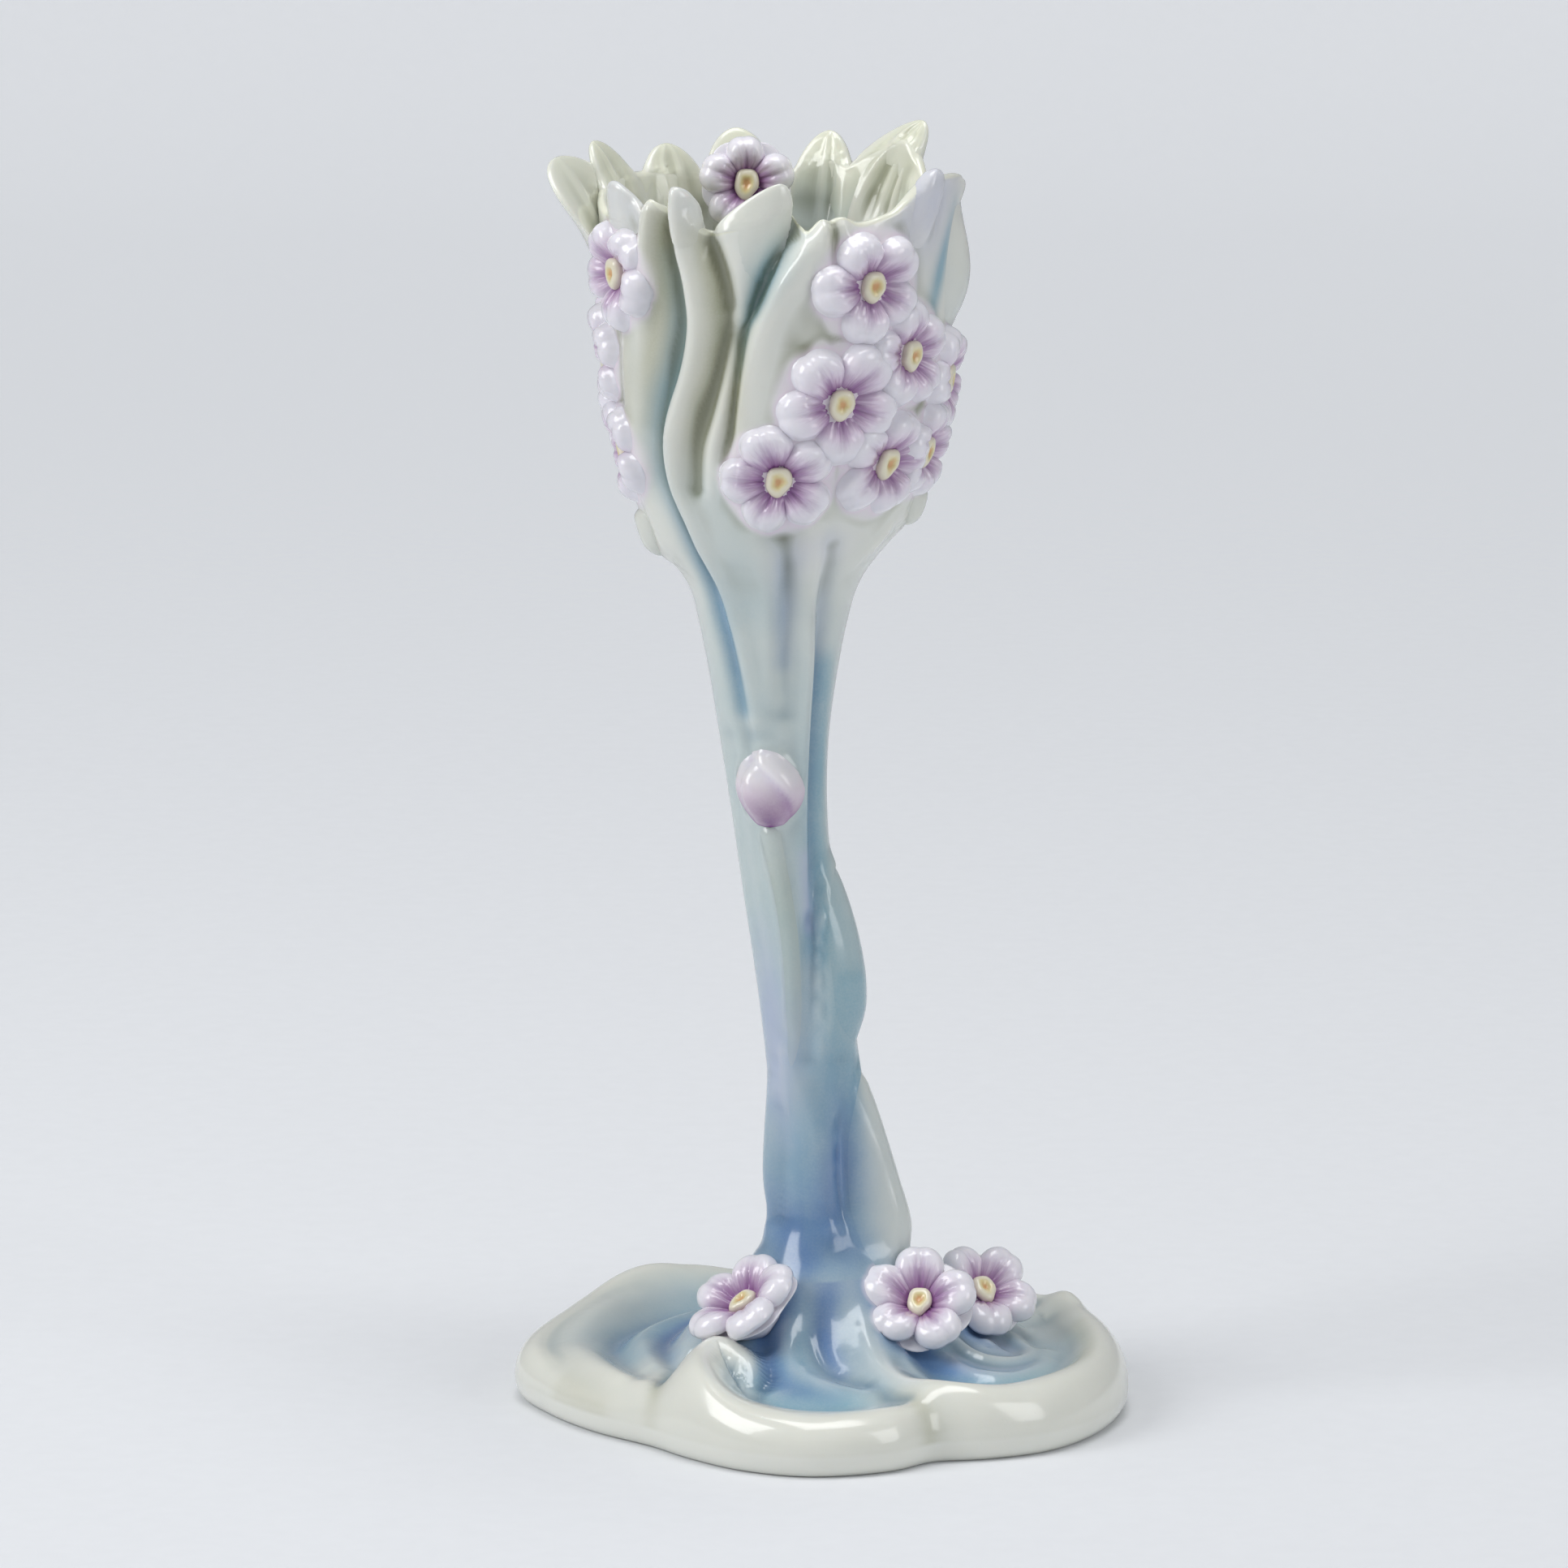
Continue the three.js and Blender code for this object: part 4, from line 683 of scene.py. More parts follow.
def glaze(name, under, stains, pool_shade=KHAKI_AND_SHADE, depth=0.6):
    """Glazed finish: under colour, then each sprayed colour (mask, colour, strength, cloud amount), then
    pooling and painted shade.
    """
    material, wires = new_material(name)
    colour = under
    for mask, stain, strength, cloud in stains:
        spray = wires.group(SPRAY, Under=colour, Stain=stain, Mask=wires.mask(mask), Strength=strength,
                            Cloud_Amount=cloud)
        colour = spray["Colour"]
    pooled_shade = wires.group(POOLING_AND_SHADE, Colour=colour, Hollow=wires.mask("hollow"), Pool=pool_shade, Depth=depth)
    return finish_shader(material, wires, pooled_shade["Colour"])


# The khaki spray is painted shade along the grooves and in the creases; the others are stains.
STAINS_AND_SHADE = [("yellow", LEAF_YELLOW, 1.0, 0.3), ("khaki", KHAKI_AND_SHADE, 0.75, 0.5), ("teal", TEAL, 0.95, 0.6),
          ("blue", BLUE, 0.85, 0.6), ("lavender", LAVENDER, 0.9, 0.4), ("petal", BED_PINK, 0.95, 0.3)]
# Pool colours, olive and blue-grey: glaze pooled in the hollows, darkened there as painted shade.
leaf_glaze = glaze("leaf_glaze", IVORY, STAINS_AND_SHADE, pool_shade=rgb(158, 160, 138), depth=0.8)
water_glaze = glaze("water_glaze", IVORY, STAINS_AND_SHADE, pool_shade=rgb(148, 172, 190), depth=0.75)
print("materials", leaf_glaze.name, water_glaze.name)

# %% [markdown]
# Where each stain was sprayed, and where the khaki shade is painted: strokes again, over the same places as
# the modelled ones. On stem and cup a point is (azimuth, z), on the base (x, y).

# %% Painted strokes
BODY_TEAL = [
    [(-37.5, 199, 2, 0.3), (-36, 192, 2.2, 0.6), (-37, 186, 2.4, 0.8), (-41, 180, 2.6, 0.9),
     (-48, 174, 2.8, 0.9), (-52.4, 166, 3, 0.9), (-53, 160, 2.8, 1), (-48, 152, 2.6, 1), (-46, 143, 2.4, 1),
     (-41, 134, 2, 0.9), (-34, 122, 1.8, 0.5)],
    [(2, 204, 3.4, 0.5), (-2, 199, 3.2, 0.9), (-7, 193, 2.2, 1), (-11, 188, 1.4, 0.7), (-14, 180, 1, 0.2)],
    [(77, 206, 2, 0.4), (72, 200, 2.2, 0.9), (65, 193, 2.4, 1), (59, 187, 2, 0.6)],
    [(-30, 160, 5, 0.25), (-20, 150, 6, 0.3), (-18, 140, 6, 0.3)],
    [(52, 128, 3, 0.6), (55, 118, 3, 0.8), (50, 104, 3, 0.7), (44, 92, 3, 0.6), (30, 80, 3, 0.5)],
    [(58, 74, 3, 0.4), (52, 64, 3, 0.7), (46, 56, 4, 0.5)],
    [(20, 46, 8, 0.4), (0, 40, 8, 0.4), (-20, 34, 6, 0.3)],
    [(100, 190, 8, 0.2), (130, 176, 6, 0.5), (130, 160, 5, 0.6), (130, 140, 4, 0.7), (140, 105, 4, 0.6)],
    [(186, 190, 5, 0.4), (181, 170, 5, 0.6), (182, 145, 4, 0.7), (183, 125, 4, 0.2)],
    [(219, 190, 5, 0.4), (212, 165, 5, 0.6), (210, 145, 4, 0.7), (206, 125, 4, 0.2)],
]
BODY_BLUE = [
    [(-52, 163, 1.6, 0.15), (-51, 157, 1.8, 0.35), (-47, 150, 1.8, 0.45), (-46, 142, 1.8, 0.45),
     (-40, 132, 1.8, 0.4), (-33, 121, 1.4, 0.2)],
    [(-2, 154, 4, 0.1), (4, 148, 2.6, 0.4), (8, 140, 2, 0.5), (9, 130, 1.8, 0.35)],
    [(26, 152, 2, 0.15), (36, 143, 2, 0.3), (44, 130, 2, 0.4), (50, 116, 2, 0.4), (46, 104, 2, 0.35),
     (38, 93, 2, 0.3), (26, 84, 2, 0.35), (10, 73, 2.4, 0.2), (0, 64, 3, 0.1)],
    [(30, 58, 5, 0.15), (36, 50, 4.5, 0.5), (30, 42, 5, 0.8), (14, 35, 5, 0.7), (28, 30, 5, 0.4)],
    [(-50, 36, 4, 0.2), (-36, 31, 4, 0.6), (-20, 27, 4, 0.7)],
    [(160, 45, 10, 0.4), (200, 35, 10, 0.5), (240, 32, 10, 0.5)],
]
BODY_LAVENDER = [
    [(-50, 82, 4, 0.2), (-52, 70, 5, 0.5), (-50, 58, 5, 0.5), (-48, 48, 4, 0.2)],
    [(66, 212, 8, 0.5), (56, 206, 8, 0.6), (48, 200, 6, 0.3)],
    [(16, 150, 4, 0.3), (30, 150, 4, 0.2)],
    [(28, 96, 1.4, 0.4), (22, 84, 1.4, 0.5)],
    [(200, 75, 8, 0.5), (210, 60, 8, 0.6)],
]
# Khaki strokes: painted shade along the grooves and on the flanks of the ridges that turn from the light
BODY_KHAKI_SHADE = [
    [(-40, 206, 2, 0.8), (-42, 199, 2.2, 1), (-42, 192, 2.6, 1), (-46, 185, 2.8, 1), (-52, 178, 2.6, 0.8),
     (-57, 171, 2, 0.5)],
    [(-30, 208, 1.6, 0.5), (-25, 202, 2, 0.8), (-21, 195, 2.4, 0.9), (-20, 188.6, 2.6, 1),
     (-23, 181.8, 2.6, 0.9), (-28, 175, 2.4, 0.8), (-34, 167, 2.4, 0.6), (-38, 159, 2.2, 0.3)],
    [(3, 204, 1.6, 0.5), (-2, 199, 1.4, 0.8), (-7, 193, 1.2, 1), (-11.5, 187, 1.2, 1),
     (-13.5, 181, 1.5, 0.9), (-16, 174, 1.8, 0.8), (-19, 166, 2, 0.5)],
    [(-68, 170, 3, 0.6), (-60, 190, 3, 0.5)],
    [(17, 205, 1.2, 0.6), (17, 198, 1.2, 0.4)],
    [(-12, 156, 4, 0.35), (4, 152, 4, 0.3)],
    [(-22, 100, 1.2, 0.3), (-8, 90, 1.4, 0.5), (-10, 80, 1.4, 0.5), (-16, 68, 1.6, 0.5),
     (-30, 54, 1.8, 0.3)],
    [(-8, 56, 3, 0.3), (-24, 46, 3, 0.25)],
    [(-96, 60, 5, 0.4), (-96, 40, 5, 0.5)],
]
BASE_BLUE = [
    [(-18, 37, 3, 0.5), (-33, 28, 2.4, 0.6), (-42, 14, 2, 0.35)],
    [(-14, 28, 3.4, 0.8), (-26, 22, 3, 0.9), (-33.5, 11, 2.6, 0.9), (-35, -1, 2.2, 0.6),
     (-33, -10, 2, 0.25)],
    [(-13, 15, 3, 0.9), (-20, 11, 2.6, 0.9), (-25.5, 3, 2.2, 0.8), (-27, -6, 2, 0.7),
     (-25, -14, 1.8, 0.35)],
    [(-14, 4, 6, 0.8), (-20, -3, 4, 0.6)],
    [(-5, -9, 4, 0.6), (-8.5, -16, 3.2, 0.9), (-9.5, -24, 3, 0.95), (-6, -30.5, 3, 0.9), (1, -34, 3, 0.5)],
    [(2, -10, 3, 0.5), (0.5, -18, 2, 0.8), (3, -25, 1.8, 0.5)],
    [(10, -11, 4, 0.6), (12, -16, 3, 0.5)],
    [(15, -8, 3, 0.7), (17, -15, 3, 0.9), (23, -18, 3, 0.9), (31, -17, 2.6, 0.8), (37, -9, 2.2, 0.5)],
    [(25, -1, 4.5, 0.8), (30, -3, 4.5, 0.8)],
    [(10, 30, 8, 0.7), (24, 27, 5, 0.7), (36, 23, 4, 0.5)],
    [(-4, 32, 8, 0.7), (0, 38, 7, 0.6)],
]
BASE_TEAL = [
    [(-12, 22, 9, 0.6), (-28, 10, 7, 0.6), (-33, -8, 5, 0.35)],
    [(-38, 28, 3, 0.7), (-45, 14, 3, 0.7), (-46, 1, 3, 0.6), (-43, -10, 3, 0.4)],
    [(-8, -18, 7, 0.5), (-5, -33, 5, 0.8), (6, -38, 5, 0.7), (14, -38, 3, 0.2)],
    [(18, -14, 6, 0.5), (29, -22, 4, 0.7), (39, -14, 4, 0.7), (42, 2, 4, 0.5)],
    [(12, 38, 12, 0.5), (-20, 40, 9, 0.5), (34, 32, 8, 0.4)],
]
# Khaki strokes: painted shade in the hollows of the waves
BASE_KHAKI_SHADE = [
    [(-25, -20, 1.6, 0.3), (-27, -27, 1.6, 0.5), (-28.5, -32, 1.8, 0.2)],
    [(12, -36, 2, 0.3), (18, -42, 2, 0.4)],
    [(24, -27, 2, 0.3), (35, -25, 2, 0.7), (42, -17, 2, 0.7), (45, -6, 2, 0.6), (44, 8, 2, 0.3)],
    [(-44, -14, 2.4, 0.3), (-38, -24, 2.4, 0.4)],
    [(-14, -13, 3, 0.25), (-17, -17, 3, 0.2)],
]


# %% Masks from the strokes
TEAL_WASHES = [(0.45, 156, 116), (0.3, 105, 60)]  # strength, and the heights where it begins and is full
BLUE_WASH = (0.32, 90, 24)
BED_LAVENDER, BED_PINKNESS = 0.2, 0.65
TEAL_INSET, BLUE_INSET = (4, 18), (9, 26)  # distances from the edge between which the base is coloured
BASE_TEAL_WASH, BASE_RIM_KHAKI = 0.55, 0.16
STEM_BLUE_FADE = 22  # the stem's blue fades out over this distance on the base
CREST_PALE, CREST_HEIGHTS = 0.9, (0.8, 4.5)


def washes(z):
    """Sprays that change only with height: blue-grey down the stem."""
    teal = sum(strength * smoothstep(high, low, z) for strength, high, low in TEAL_WASHES)
    strength, high, low = BLUE_WASH
    return teal, strength * smoothstep(high, low, z)


def body_masks(azimuth, z):
    """Where each stain and the painted shade lie on stem and cup. Under the flowers the wall is pink."""
    scale = np.radians(smooth_radius(z))
    teal, blue = washes(z)
    bed = flower_bed(azimuth, z)
    ivory = 1 - bed
    return {
        "yellow": 0 * bed,
        "teal": ivory * np.clip(teal + brush(BODY_TEAL, azimuth, z, scale, wrap=True), 0, 1),
        "blue": ivory * np.clip(blue + brush(BODY_BLUE, azimuth, z, scale, wrap=True), 0, 1),
        "lavender": np.clip(BED_LAVENDER * bed + brush(BODY_LAVENDER, azimuth, z, scale, wrap=True), 0, 1),
        "khaki": ivory * np.clip(brush(BODY_KHAKI_SHADE, azimuth, z, scale, wrap=True), 0, 1),
        "petal": BED_PINKNESS * bed,
    }


def base_masks(azimuth, radius, waves):
    """Where each stain and the painted shade lie on the base. The crests of the waves stay ivory."""
    turn = np.radians(azimuth)
    x, y = radius * np.sin(turn), -radius * np.cos(turn)
    inset = outline_radius(azimuth) - radius
    inside = smoothstep(*TEAL_INSET, inset)
    middle = smoothstep(*BLUE_INSET, inset)
    teal = BASE_TEAL_WASH + 0 * radius
    blue = washes(STEM_FOOT)[1]
    near = np.exp(-((np.maximum(radius - FOOT_RADIUS, 0) / STEM_BLUE_FADE) ** 2))
    blank = np.zeros(np.broadcast(azimuth, radius).shape)
    crest = 1 - CREST_PALE * smoothstep(*CREST_HEIGHTS, waves)
    return {
        "yellow": blank,
        "teal": np.clip(inside * (teal + brush(BASE_TEAL, x, y)), 0, 1) * crest,
        "blue": np.clip(inside * near * blue + middle * brush(BASE_BLUE, x, y), 0, 1) * crest,
        "lavender": blank,
        "khaki": np.clip(BASE_RIM_KHAKI * (1 - inside) + brush(BASE_KHAKI_SHADE, x, y), 0, 1),
        "petal": blank,
    }


# %% Rows of the long grid
FOOT_RING = [  # millimetres inwards of the ring's inner edge, height
    (8, FOOT_RECESS), (2.2, FOOT_RECESS), (1.4, 1.6), (0.8, 0.9), (0.4, 0.25), (0, 0), (-3, 0), (-5, 0)]
UNDER_ROWS, RIM_ROWS, TOP_ROWS, STEM_ROWS = 10, 16, 136, 250
OUTSIDE_ROWS, LIP_ROWS, INSIDE_ROWS, FLOOR_ROWS = 150, 9, 56, 8
TOP_SPACING = 0.9  # under 1, the rows lie a little closer towards the stem
azimuths = np.linspace(-180, 180, COLUMNS, endpoint=False)[None, :]
outline = outline_radius(azimuths)


def under_rows():
    """Underside: recess, foot ring and the lower round of the rim, from the middle outwards."""
    profile = [(FOOT_ROUNDING + FOOT_RING_WIDTH + inwards, z) for inwards, z in FOOT_RING]
    for psi in np.radians(np.linspace(90, 0, UNDER_ROWS)[:-1]):
        profile.append((FOOT_ROUNDING * (1 - math.cos(psi)), BASE_EQUATOR * (1 - math.sin(psi))))
    return np.stack([polar(azimuths[0], outline[0] - inset, z) for inset, z in profile])


def top_rows():
    """Upper side of the base, from the widest line in to the stem."""
    edge = 1 - np.cos(np.radians(np.linspace(0, 90, RIM_ROWS)))[:, None]
    rim = outline - edge * RIM_ROUNDING
    share = np.linspace(0, 1, TOP_ROWS)[1:, None]
    inner = (outline - RIM_ROUNDING) + (FOOT_RADIUS - outline + RIM_ROUNDING) * share**TOP_SPACING
    radius = np.concatenate([rim, inner])
    height, waves = base_height(azimuths, radius)
    return polar(azimuths, radius, height), base_masks(azimuths, radius, waves)


def stem_rows():
    """The stem, from the base up to the cup."""
    z = np.linspace(STEM_FOOT, CUP_FOOT, STEM_ROWS)[1:, None]
    z = np.broadcast_to(z, (z.shape[0], COLUMNS))
    radius = body_radius(azimuths, z)
    return polar(azimuths, radius, z, axis_x(z)), body_masks(azimuths, z)


# %% Cup rows: up the outside, over the rounded rim, down the inside to the floor
RIM_CALM = 0.75  # share of the relief that dies out just under the rim
RIM_CALM_HEIGHT = 4.0
INNER_FOLDS = 0.8  # share of the folds that shows inside
FLOOR_CORNER, CORNER_SHARE = 3.0, 0.12  # rounding where wall and floor meet, and how far up it reaches
FLOOR_FLARE = 60.0  # how fast the inside may widen above the floor
INNER_PALE = 0.85  # share of the stains that stops at the rim
INNER_YELLOW, INNER_TEAL = 0.75, 0.5
BACK_AZIMUTH, BACK_SPREAD = 165, (60, 20)  # where the inside is shaded, and how far the shade reaches


def cup_rows():
    """Outside, rim, inside and floor of the cup. The stains stop at the rim, and the back is shaded."""
    rim = rim_height(azimuths)
    half = RIM_WALL / 2
    share = np.linspace(0, 1, OUTSIDE_ROWS)[1:, None]
    z = CUP_FOOT + (rim - half - CUP_FOOT) * share
    radius = body_radius(azimuths, z, BED_HEIGHT)
    relief = np.maximum(radius - smooth_radius(z), 0)
    below = np.clip((z - rim + half + RIM_CALM_HEIGHT) / RIM_CALM_HEIGHT, 0, 1)
    radius = radius - RIM_CALM * relief * (1 - np.sqrt(1 - below**2))
    outside = polar(azimuths, radius, z, axis_x(z))

    inner_share = np.linspace(1, 0, INSIDE_ROWS)[:, None]
    floor = CUP_FOOT + CUP_FLOOR_RISE
    z_in = floor + (rim - half - floor) * inner_share
    bowl = bowl_radius(z_in)
    hollow = bowl - wall_thickness(z_in) + INNER_FOLDS * inner_share * (body_radius(azimuths, z_in) - bowl)
    corner = FLOOR_CORNER * (1 - smoothstep(0, CORNER_SHARE, inner_share))
    hollow = np.minimum(hollow, CUP_FLOOR_RADIUS - corner + FLOOR_FLARE * inner_share)
    inside = polar(azimuths, hollow, z_in, axis_x(z_in))

    phi = np.radians(np.linspace(0, 180, LIP_ROWS)[1:-1])[:, None]
    middle, wall = (radius[-1] + hollow[0]) / 2, (radius[-1] - hollow[0]) / 2
    z_rim = rim - half + wall * np.sin(phi)
    over = polar(azimuths, middle + wall * np.cos(phi), z_rim, axis_x(z_rim))
    disc_share = np.linspace(1, 0.05, FLOOR_ROWS)[1:, None]
    disc = polar(azimuths, hollow[-1] * disc_share, floor + 0 * azimuths, axis_x(floor))

    points = np.concatenate([outside, over, inside, disc])
    z_all = np.concatenate([z, z_rim, z_in, floor + 0 * disc_share * azimuths])
    masks = body_masks(azimuths, z_all)
    inner = (np.arange(len(points)) >= len(outside)).astype(float)[:, None]
    for name in ("teal", "blue", "khaki", "petal", "lavender"):
        masks[name] = masks[name] * (1 - INNER_PALE * inner)
    masks["yellow"] = masks["yellow"] + inner * INNER_YELLOW
    back = smoothstep(*BACK_SPREAD, np.abs(azimuths - BACK_AZIMUTH) % 360)
    shade = inner * INNER_TEAL * back * smoothstep(RIM_Z + 3, RIM_Z - 10, z_all)
    masks["teal"] = np.clip(masks["teal"] + shade, 0, 1)
    return points, masks


# %% Base, stem and cup as one grid, evened out at the joints
HOLLOW_ROUNDS = 24  # how often the surface is blurred to find its hollows
HOLLOW_DEPTH = 0.35  # millimetres below the blurred surface that count as deep


def soften(points, row, reach=7, times=14):
    """Evens out the rows on both sides of a joint."""
    for _ in range(times):
        window = points[row - reach:row + reach + 1]
        window[1:-1] = 0.5 * window[1:-1] + 0.25 * (window[:-2] + window[2:])


def blurred(grid, times):
    """A grid whose columns join round, blurred along both ways."""
    for _ in range(times):
        grid = 0.5 * grid + 0.25 * (np.roll(grid, 1, axis=1) + np.roll(grid, -1, axis=1))
        grid[1:-1] = 0.5 * grid[1:-1] + 0.25 * (grid[:-2] + grid[2:])
    return grid


# The hollow mask below sets the pooled glaze and the painted shade of the creases.
def hollows(points, normals):
    """How far each point lies below the mean of its neighbourhood: 1 in a deep hollow, -1 on a crest."""
    depth = np.sum((blurred(points, HOLLOW_ROUNDS) - points) * normals, axis=-1)
    return np.clip(depth / HOLLOW_DEPTH, -1, 1)


under = under_rows()
top, top_masks = top_rows()
stem, stem_masks = stem_rows()
cup, cup_masks = cup_rows()
whole = np.concatenate([under, top, stem, cup])
base_end = len(under) + len(top) - 1
stem_end = base_end + len(stem)
soften(whole, base_end)
soften(whole, stem_end)
print("grid", whole.shape, "joints at rows", base_end, stem_end)

# %% [markdown]
# The leaves of the rim are separate blades that grow out of the wall. A blade's line runs from root to tip,
# its section is a flat ellipse, and it thins towards the root so that it comes out of the wall without a
# step.

# %% Leaf blades
LEAF_THICKNESS = 2.7
RIB_WIDTH = 0.13  # share of the leaf's half width
OPEN_FROM = 0.32  # a blade has its full width from this share of its length
TIP_FULLNESS = 0.55  # under 1, the tip is rounder
BLADE_SINK, SUNK_TO = 0.5, 0.35  # share of the thickness by which the root is sunk, and where that ends
# root and tip (azimuth, z above the mean rim); flare, lift, curl, bulge and twist bend the leaf outwards;
# ribs (place across, height) are on its inner face; fold is its share of the cup's folds
RIM_LEAVES = {
    "left_spoon": dict(root=(-97, -20), tip=(-92, 7), width=23, flare=6.2, lift=0.3, curl=-1, blunt=3.2,
                       twist=7.5, thickness=3.4, ribs=[(0.2, 0.5)]),
    "left_back": dict(root=(-116, -9), tip=(-108, 8.5), width=16, flare=2.2, curl=-0.8, blunt=2.2,
                      ribs=[(0.1, 0.6)]),
    "back_left": dict(root=(-141, -9), tip=(-143, 6.6), width=16, flare=1, curl=-1, blunt=2.6,
                      ribs=[(-0.2, 0.5), (0.45, 0.4)]),
    "back_middle": dict(root=(-168, -9), tip=(-167, 8.6), width=16, flare=1, curl=-0.8, blunt=2.2),
    "back_right": dict(root=(165, -9), tip=(163, 8.2), width=14, flare=1, curl=-1, blunt=1.9,
                       ribs=[(0, 0.5), (-0.5, 0.4)]),
    "tall_right": dict(root=(145, -9), tip=(130, 10.7), width=15, flare=2, curl=-0.8, blunt=1.7, skew=0.3,
                       ribs=[(-0.55, 0.7), (-0.1, 0.6), (0.5, 0.8)]),
    "right_large": dict(root=(89, -27), tip=(86, 1.8), width=22, flare=0.4, flare_power=8, lift=-0.1,
                        bulge=3.1, curl=-0.7, blunt=2.6, thickness=3),
    "right_finger": dict(root=(50, -9), tip=(56.4, 7.2), width=5.4, flare=1.2, lift=0.4, blunt=9,
                         thickness=4.4, fold=0.4, root_share=2),
    "front_middle": dict(root=(-9, -16), tip=(2, 6), width=16, lift=-0.1, flare=0.3, curl=-0.3, blunt=1.6,
                         fold=0.8, skew=-0.5),
    "front_finger": dict(root=(-29.5, -8), tip=(-31.5, 5.4), width=4.8, flare=0.2, lift=0.1, blunt=9,
                         thickness=3.8, fold=0.9, root_share=1),
    "left_front": dict(root=(-61, -9), tip=(-59, 5), width=12, flare=1.3, curl=-0.4, blunt=2.6, fold=0.4,
                       thickness=3.2, skew=0.3),
}


def rounded(turn, power):
    """Sine with a fuller or a leaner body, for the edge of a leaf."""
    wave = np.sin(turn)
    return np.sign(wave) * np.abs(wave) ** power


def blade_grid(leaf, surface, stations=56, sides=64):
    """Grid of a blade, and its azimuth, z, u from root to tip and across from edge to edge."""
    root, tip, width = leaf["root"], leaf["tip"], leaf["width"]
    thickness = leaf.get("thickness", LEAF_THICKNESS)
    flare, lift, curl, bulge = (leaf.get(key, 0) for key in ("flare", "lift", "curl", "bulge"))
    skew, twist, ribs = leaf.get("skew", 0), leaf.get("twist", 0), leaf.get("ribs", [])
    blunt, root_share = leaf.get("blunt", 2.2), leaf.get("root_share", 0.8)
    u = np.sin(np.radians(np.linspace(0, 87, stations)))[:, None]
    turn = circle(sides)
    across = np.cos(turn)
    line_z = root[1] + (tip[1] - root[1]) * u
    radius = smooth_radius(np.minimum(line_z, RIM_Z))
    lean = np.radians(tip[0] - root[0]) * radius * 1.2 * u**0.2
    rise = tip[1] - root[1]
    length = np.hypot(lean, rise)
    opening = root_share + (1 - root_share) * np.sin(np.minimum(u / OPEN_FROM, 1) * math.pi / 2)
    taper = (1 - u**blunt) ** TIP_FULLNESS * opening
    half = width / 2 * taper * (1 + skew * across * np.sin(math.pi * u)) * across
    azimuth = root[0] + (tip[0] - root[0]) * u**1.2 + np.degrees(half * rise / length / radius)
    z = line_z - half * lean / length
    sunk = smoothstep(RIM_Z + 1, RIM_Z - 7, z)
    face = rounded(turn, 0.7 + leaf.get("lean_edge", 1.0) * sunk)
    thick = thickness / 2 * np.sqrt(1 - u**8) * smoothstep(-0.35, 0.5, u)
    sink = -BLADE_SINK * thickness * smoothstep(SUNK_TO, 0.0, u)
    bend = flare * u ** leaf.get("flare_power", 2) + curl * (across * taper) ** 2
    bend = bend + bulge * np.sin(math.pi * u) ** 1.6 * (1 - 1.1 * across**2)
    bend = bend + twist * across * taper * u**2
    ribs = sum(height * np.exp(-(((across - place) / RIB_WIDTH) ** 2)) for place, height in ribs)
    ribs = ribs * np.sin(math.pi * u) ** 0.6 * (face < 0)
    line = surface(azimuth, z, leaf.get("fold", 0)) + lift + sink + bend
    points = polar(azimuth, line + thick * face - ribs, z, axis_x(z))
    return points, azimuth, z, u + 0 * across, across + 0 * u


def cup_line(azimuth, z, fold):
    """Middle of the wall, with a share of the folds."""
    low = np.minimum(z, RIM_Z + 4)
    relief = body_radius(azimuth, low) - smooth_radius(low) if fold else 0
    return bowl_radius(z) - wall_thickness(z) / 2 + fold * relief


def leaf_masks(azimuth, z, u, across, lavender=0.0, khaki=0.1, yellow=0.6, teal=0.0):
    """At its root a leaf has the wall's stains, and towards the tip its own."""
    masks = body_masks(azimuth, z)
    masks = {name: mask * smoothstep(0.9, 0.1, u) for name, mask in masks.items()}
    edge = smoothstep(0.7, 1.0, np.abs(across))
    masks["khaki"] = np.clip(masks["khaki"] + khaki * (1 - edge) * (1 - u), 0, 1)
    masks["lavender"] = np.clip(masks["lavender"] + lavender * smoothstep(0.1, 0.8, u), 0, 1)
    masks["teal"] = np.clip(masks["teal"] + teal * (1 - edge) * smoothstep(0.9, 0.2, u), 0, 1)
    masks["yellow"] = np.clip(yellow * (1 - 0.5 * edge), 0, 1) * smoothstep(0.1, 0.6, u)
    masks["petal"] = 0 * u + 0 * across
    return masks


LEAF_TINTS = {
    "right_finger": dict(lavender=0.5, yellow=0), "left_front": dict(lavender=0.25, yellow=0.1),
    "tall_right": dict(khaki=0.15, yellow=0.8), "left_back": dict(yellow=0.8), "back_left": dict(yellow=0.8),
    "back_middle": dict(yellow=0.8), "back_right": dict(yellow=0.8, teal=0.3),
    "front_middle": dict(yellow=0.1, teal=0.2, khaki=0.2), "front_finger": dict(yellow=0.1, lavender=0.15),
    "right_large": dict(yellow=0.0, teal=0.25), "left_spoon": dict(yellow=0.5),
}
for name, leaf in RIM_LEAVES.items():
    root, tip = ((azimuth, RIM_Z + z) for azimuth, z in (leaf["root"], leaf["tip"]))
    points, azimuth, z, u, across = blade_grid(dict(leaf, root=root, tip=tip), cup_line)
    masks = leaf_masks(azimuth, z, u, across, **LEAF_TINTS[name])
    link_grid("leaf_" + name, points, masks, hollows(points, grid_normals(points)), leaf_glaze, "ivory_glaze")
print("rim leaves", len(RIM_LEAVES))

# %% [markdown]
# Lips hang under the two clusters of flowers, a leaf clasps the stem, and a root leaf runs down it and out
# over the base. They are blades too, except the root leaf, which is a row of half-round sections.

# %% Lips and stem leaves
def cup_z(t):
    return CUP_FOOT + t * CUP_HEIGHT


def stem_z(t):
    return STEM_FOOT + t * STEM_LENGTH


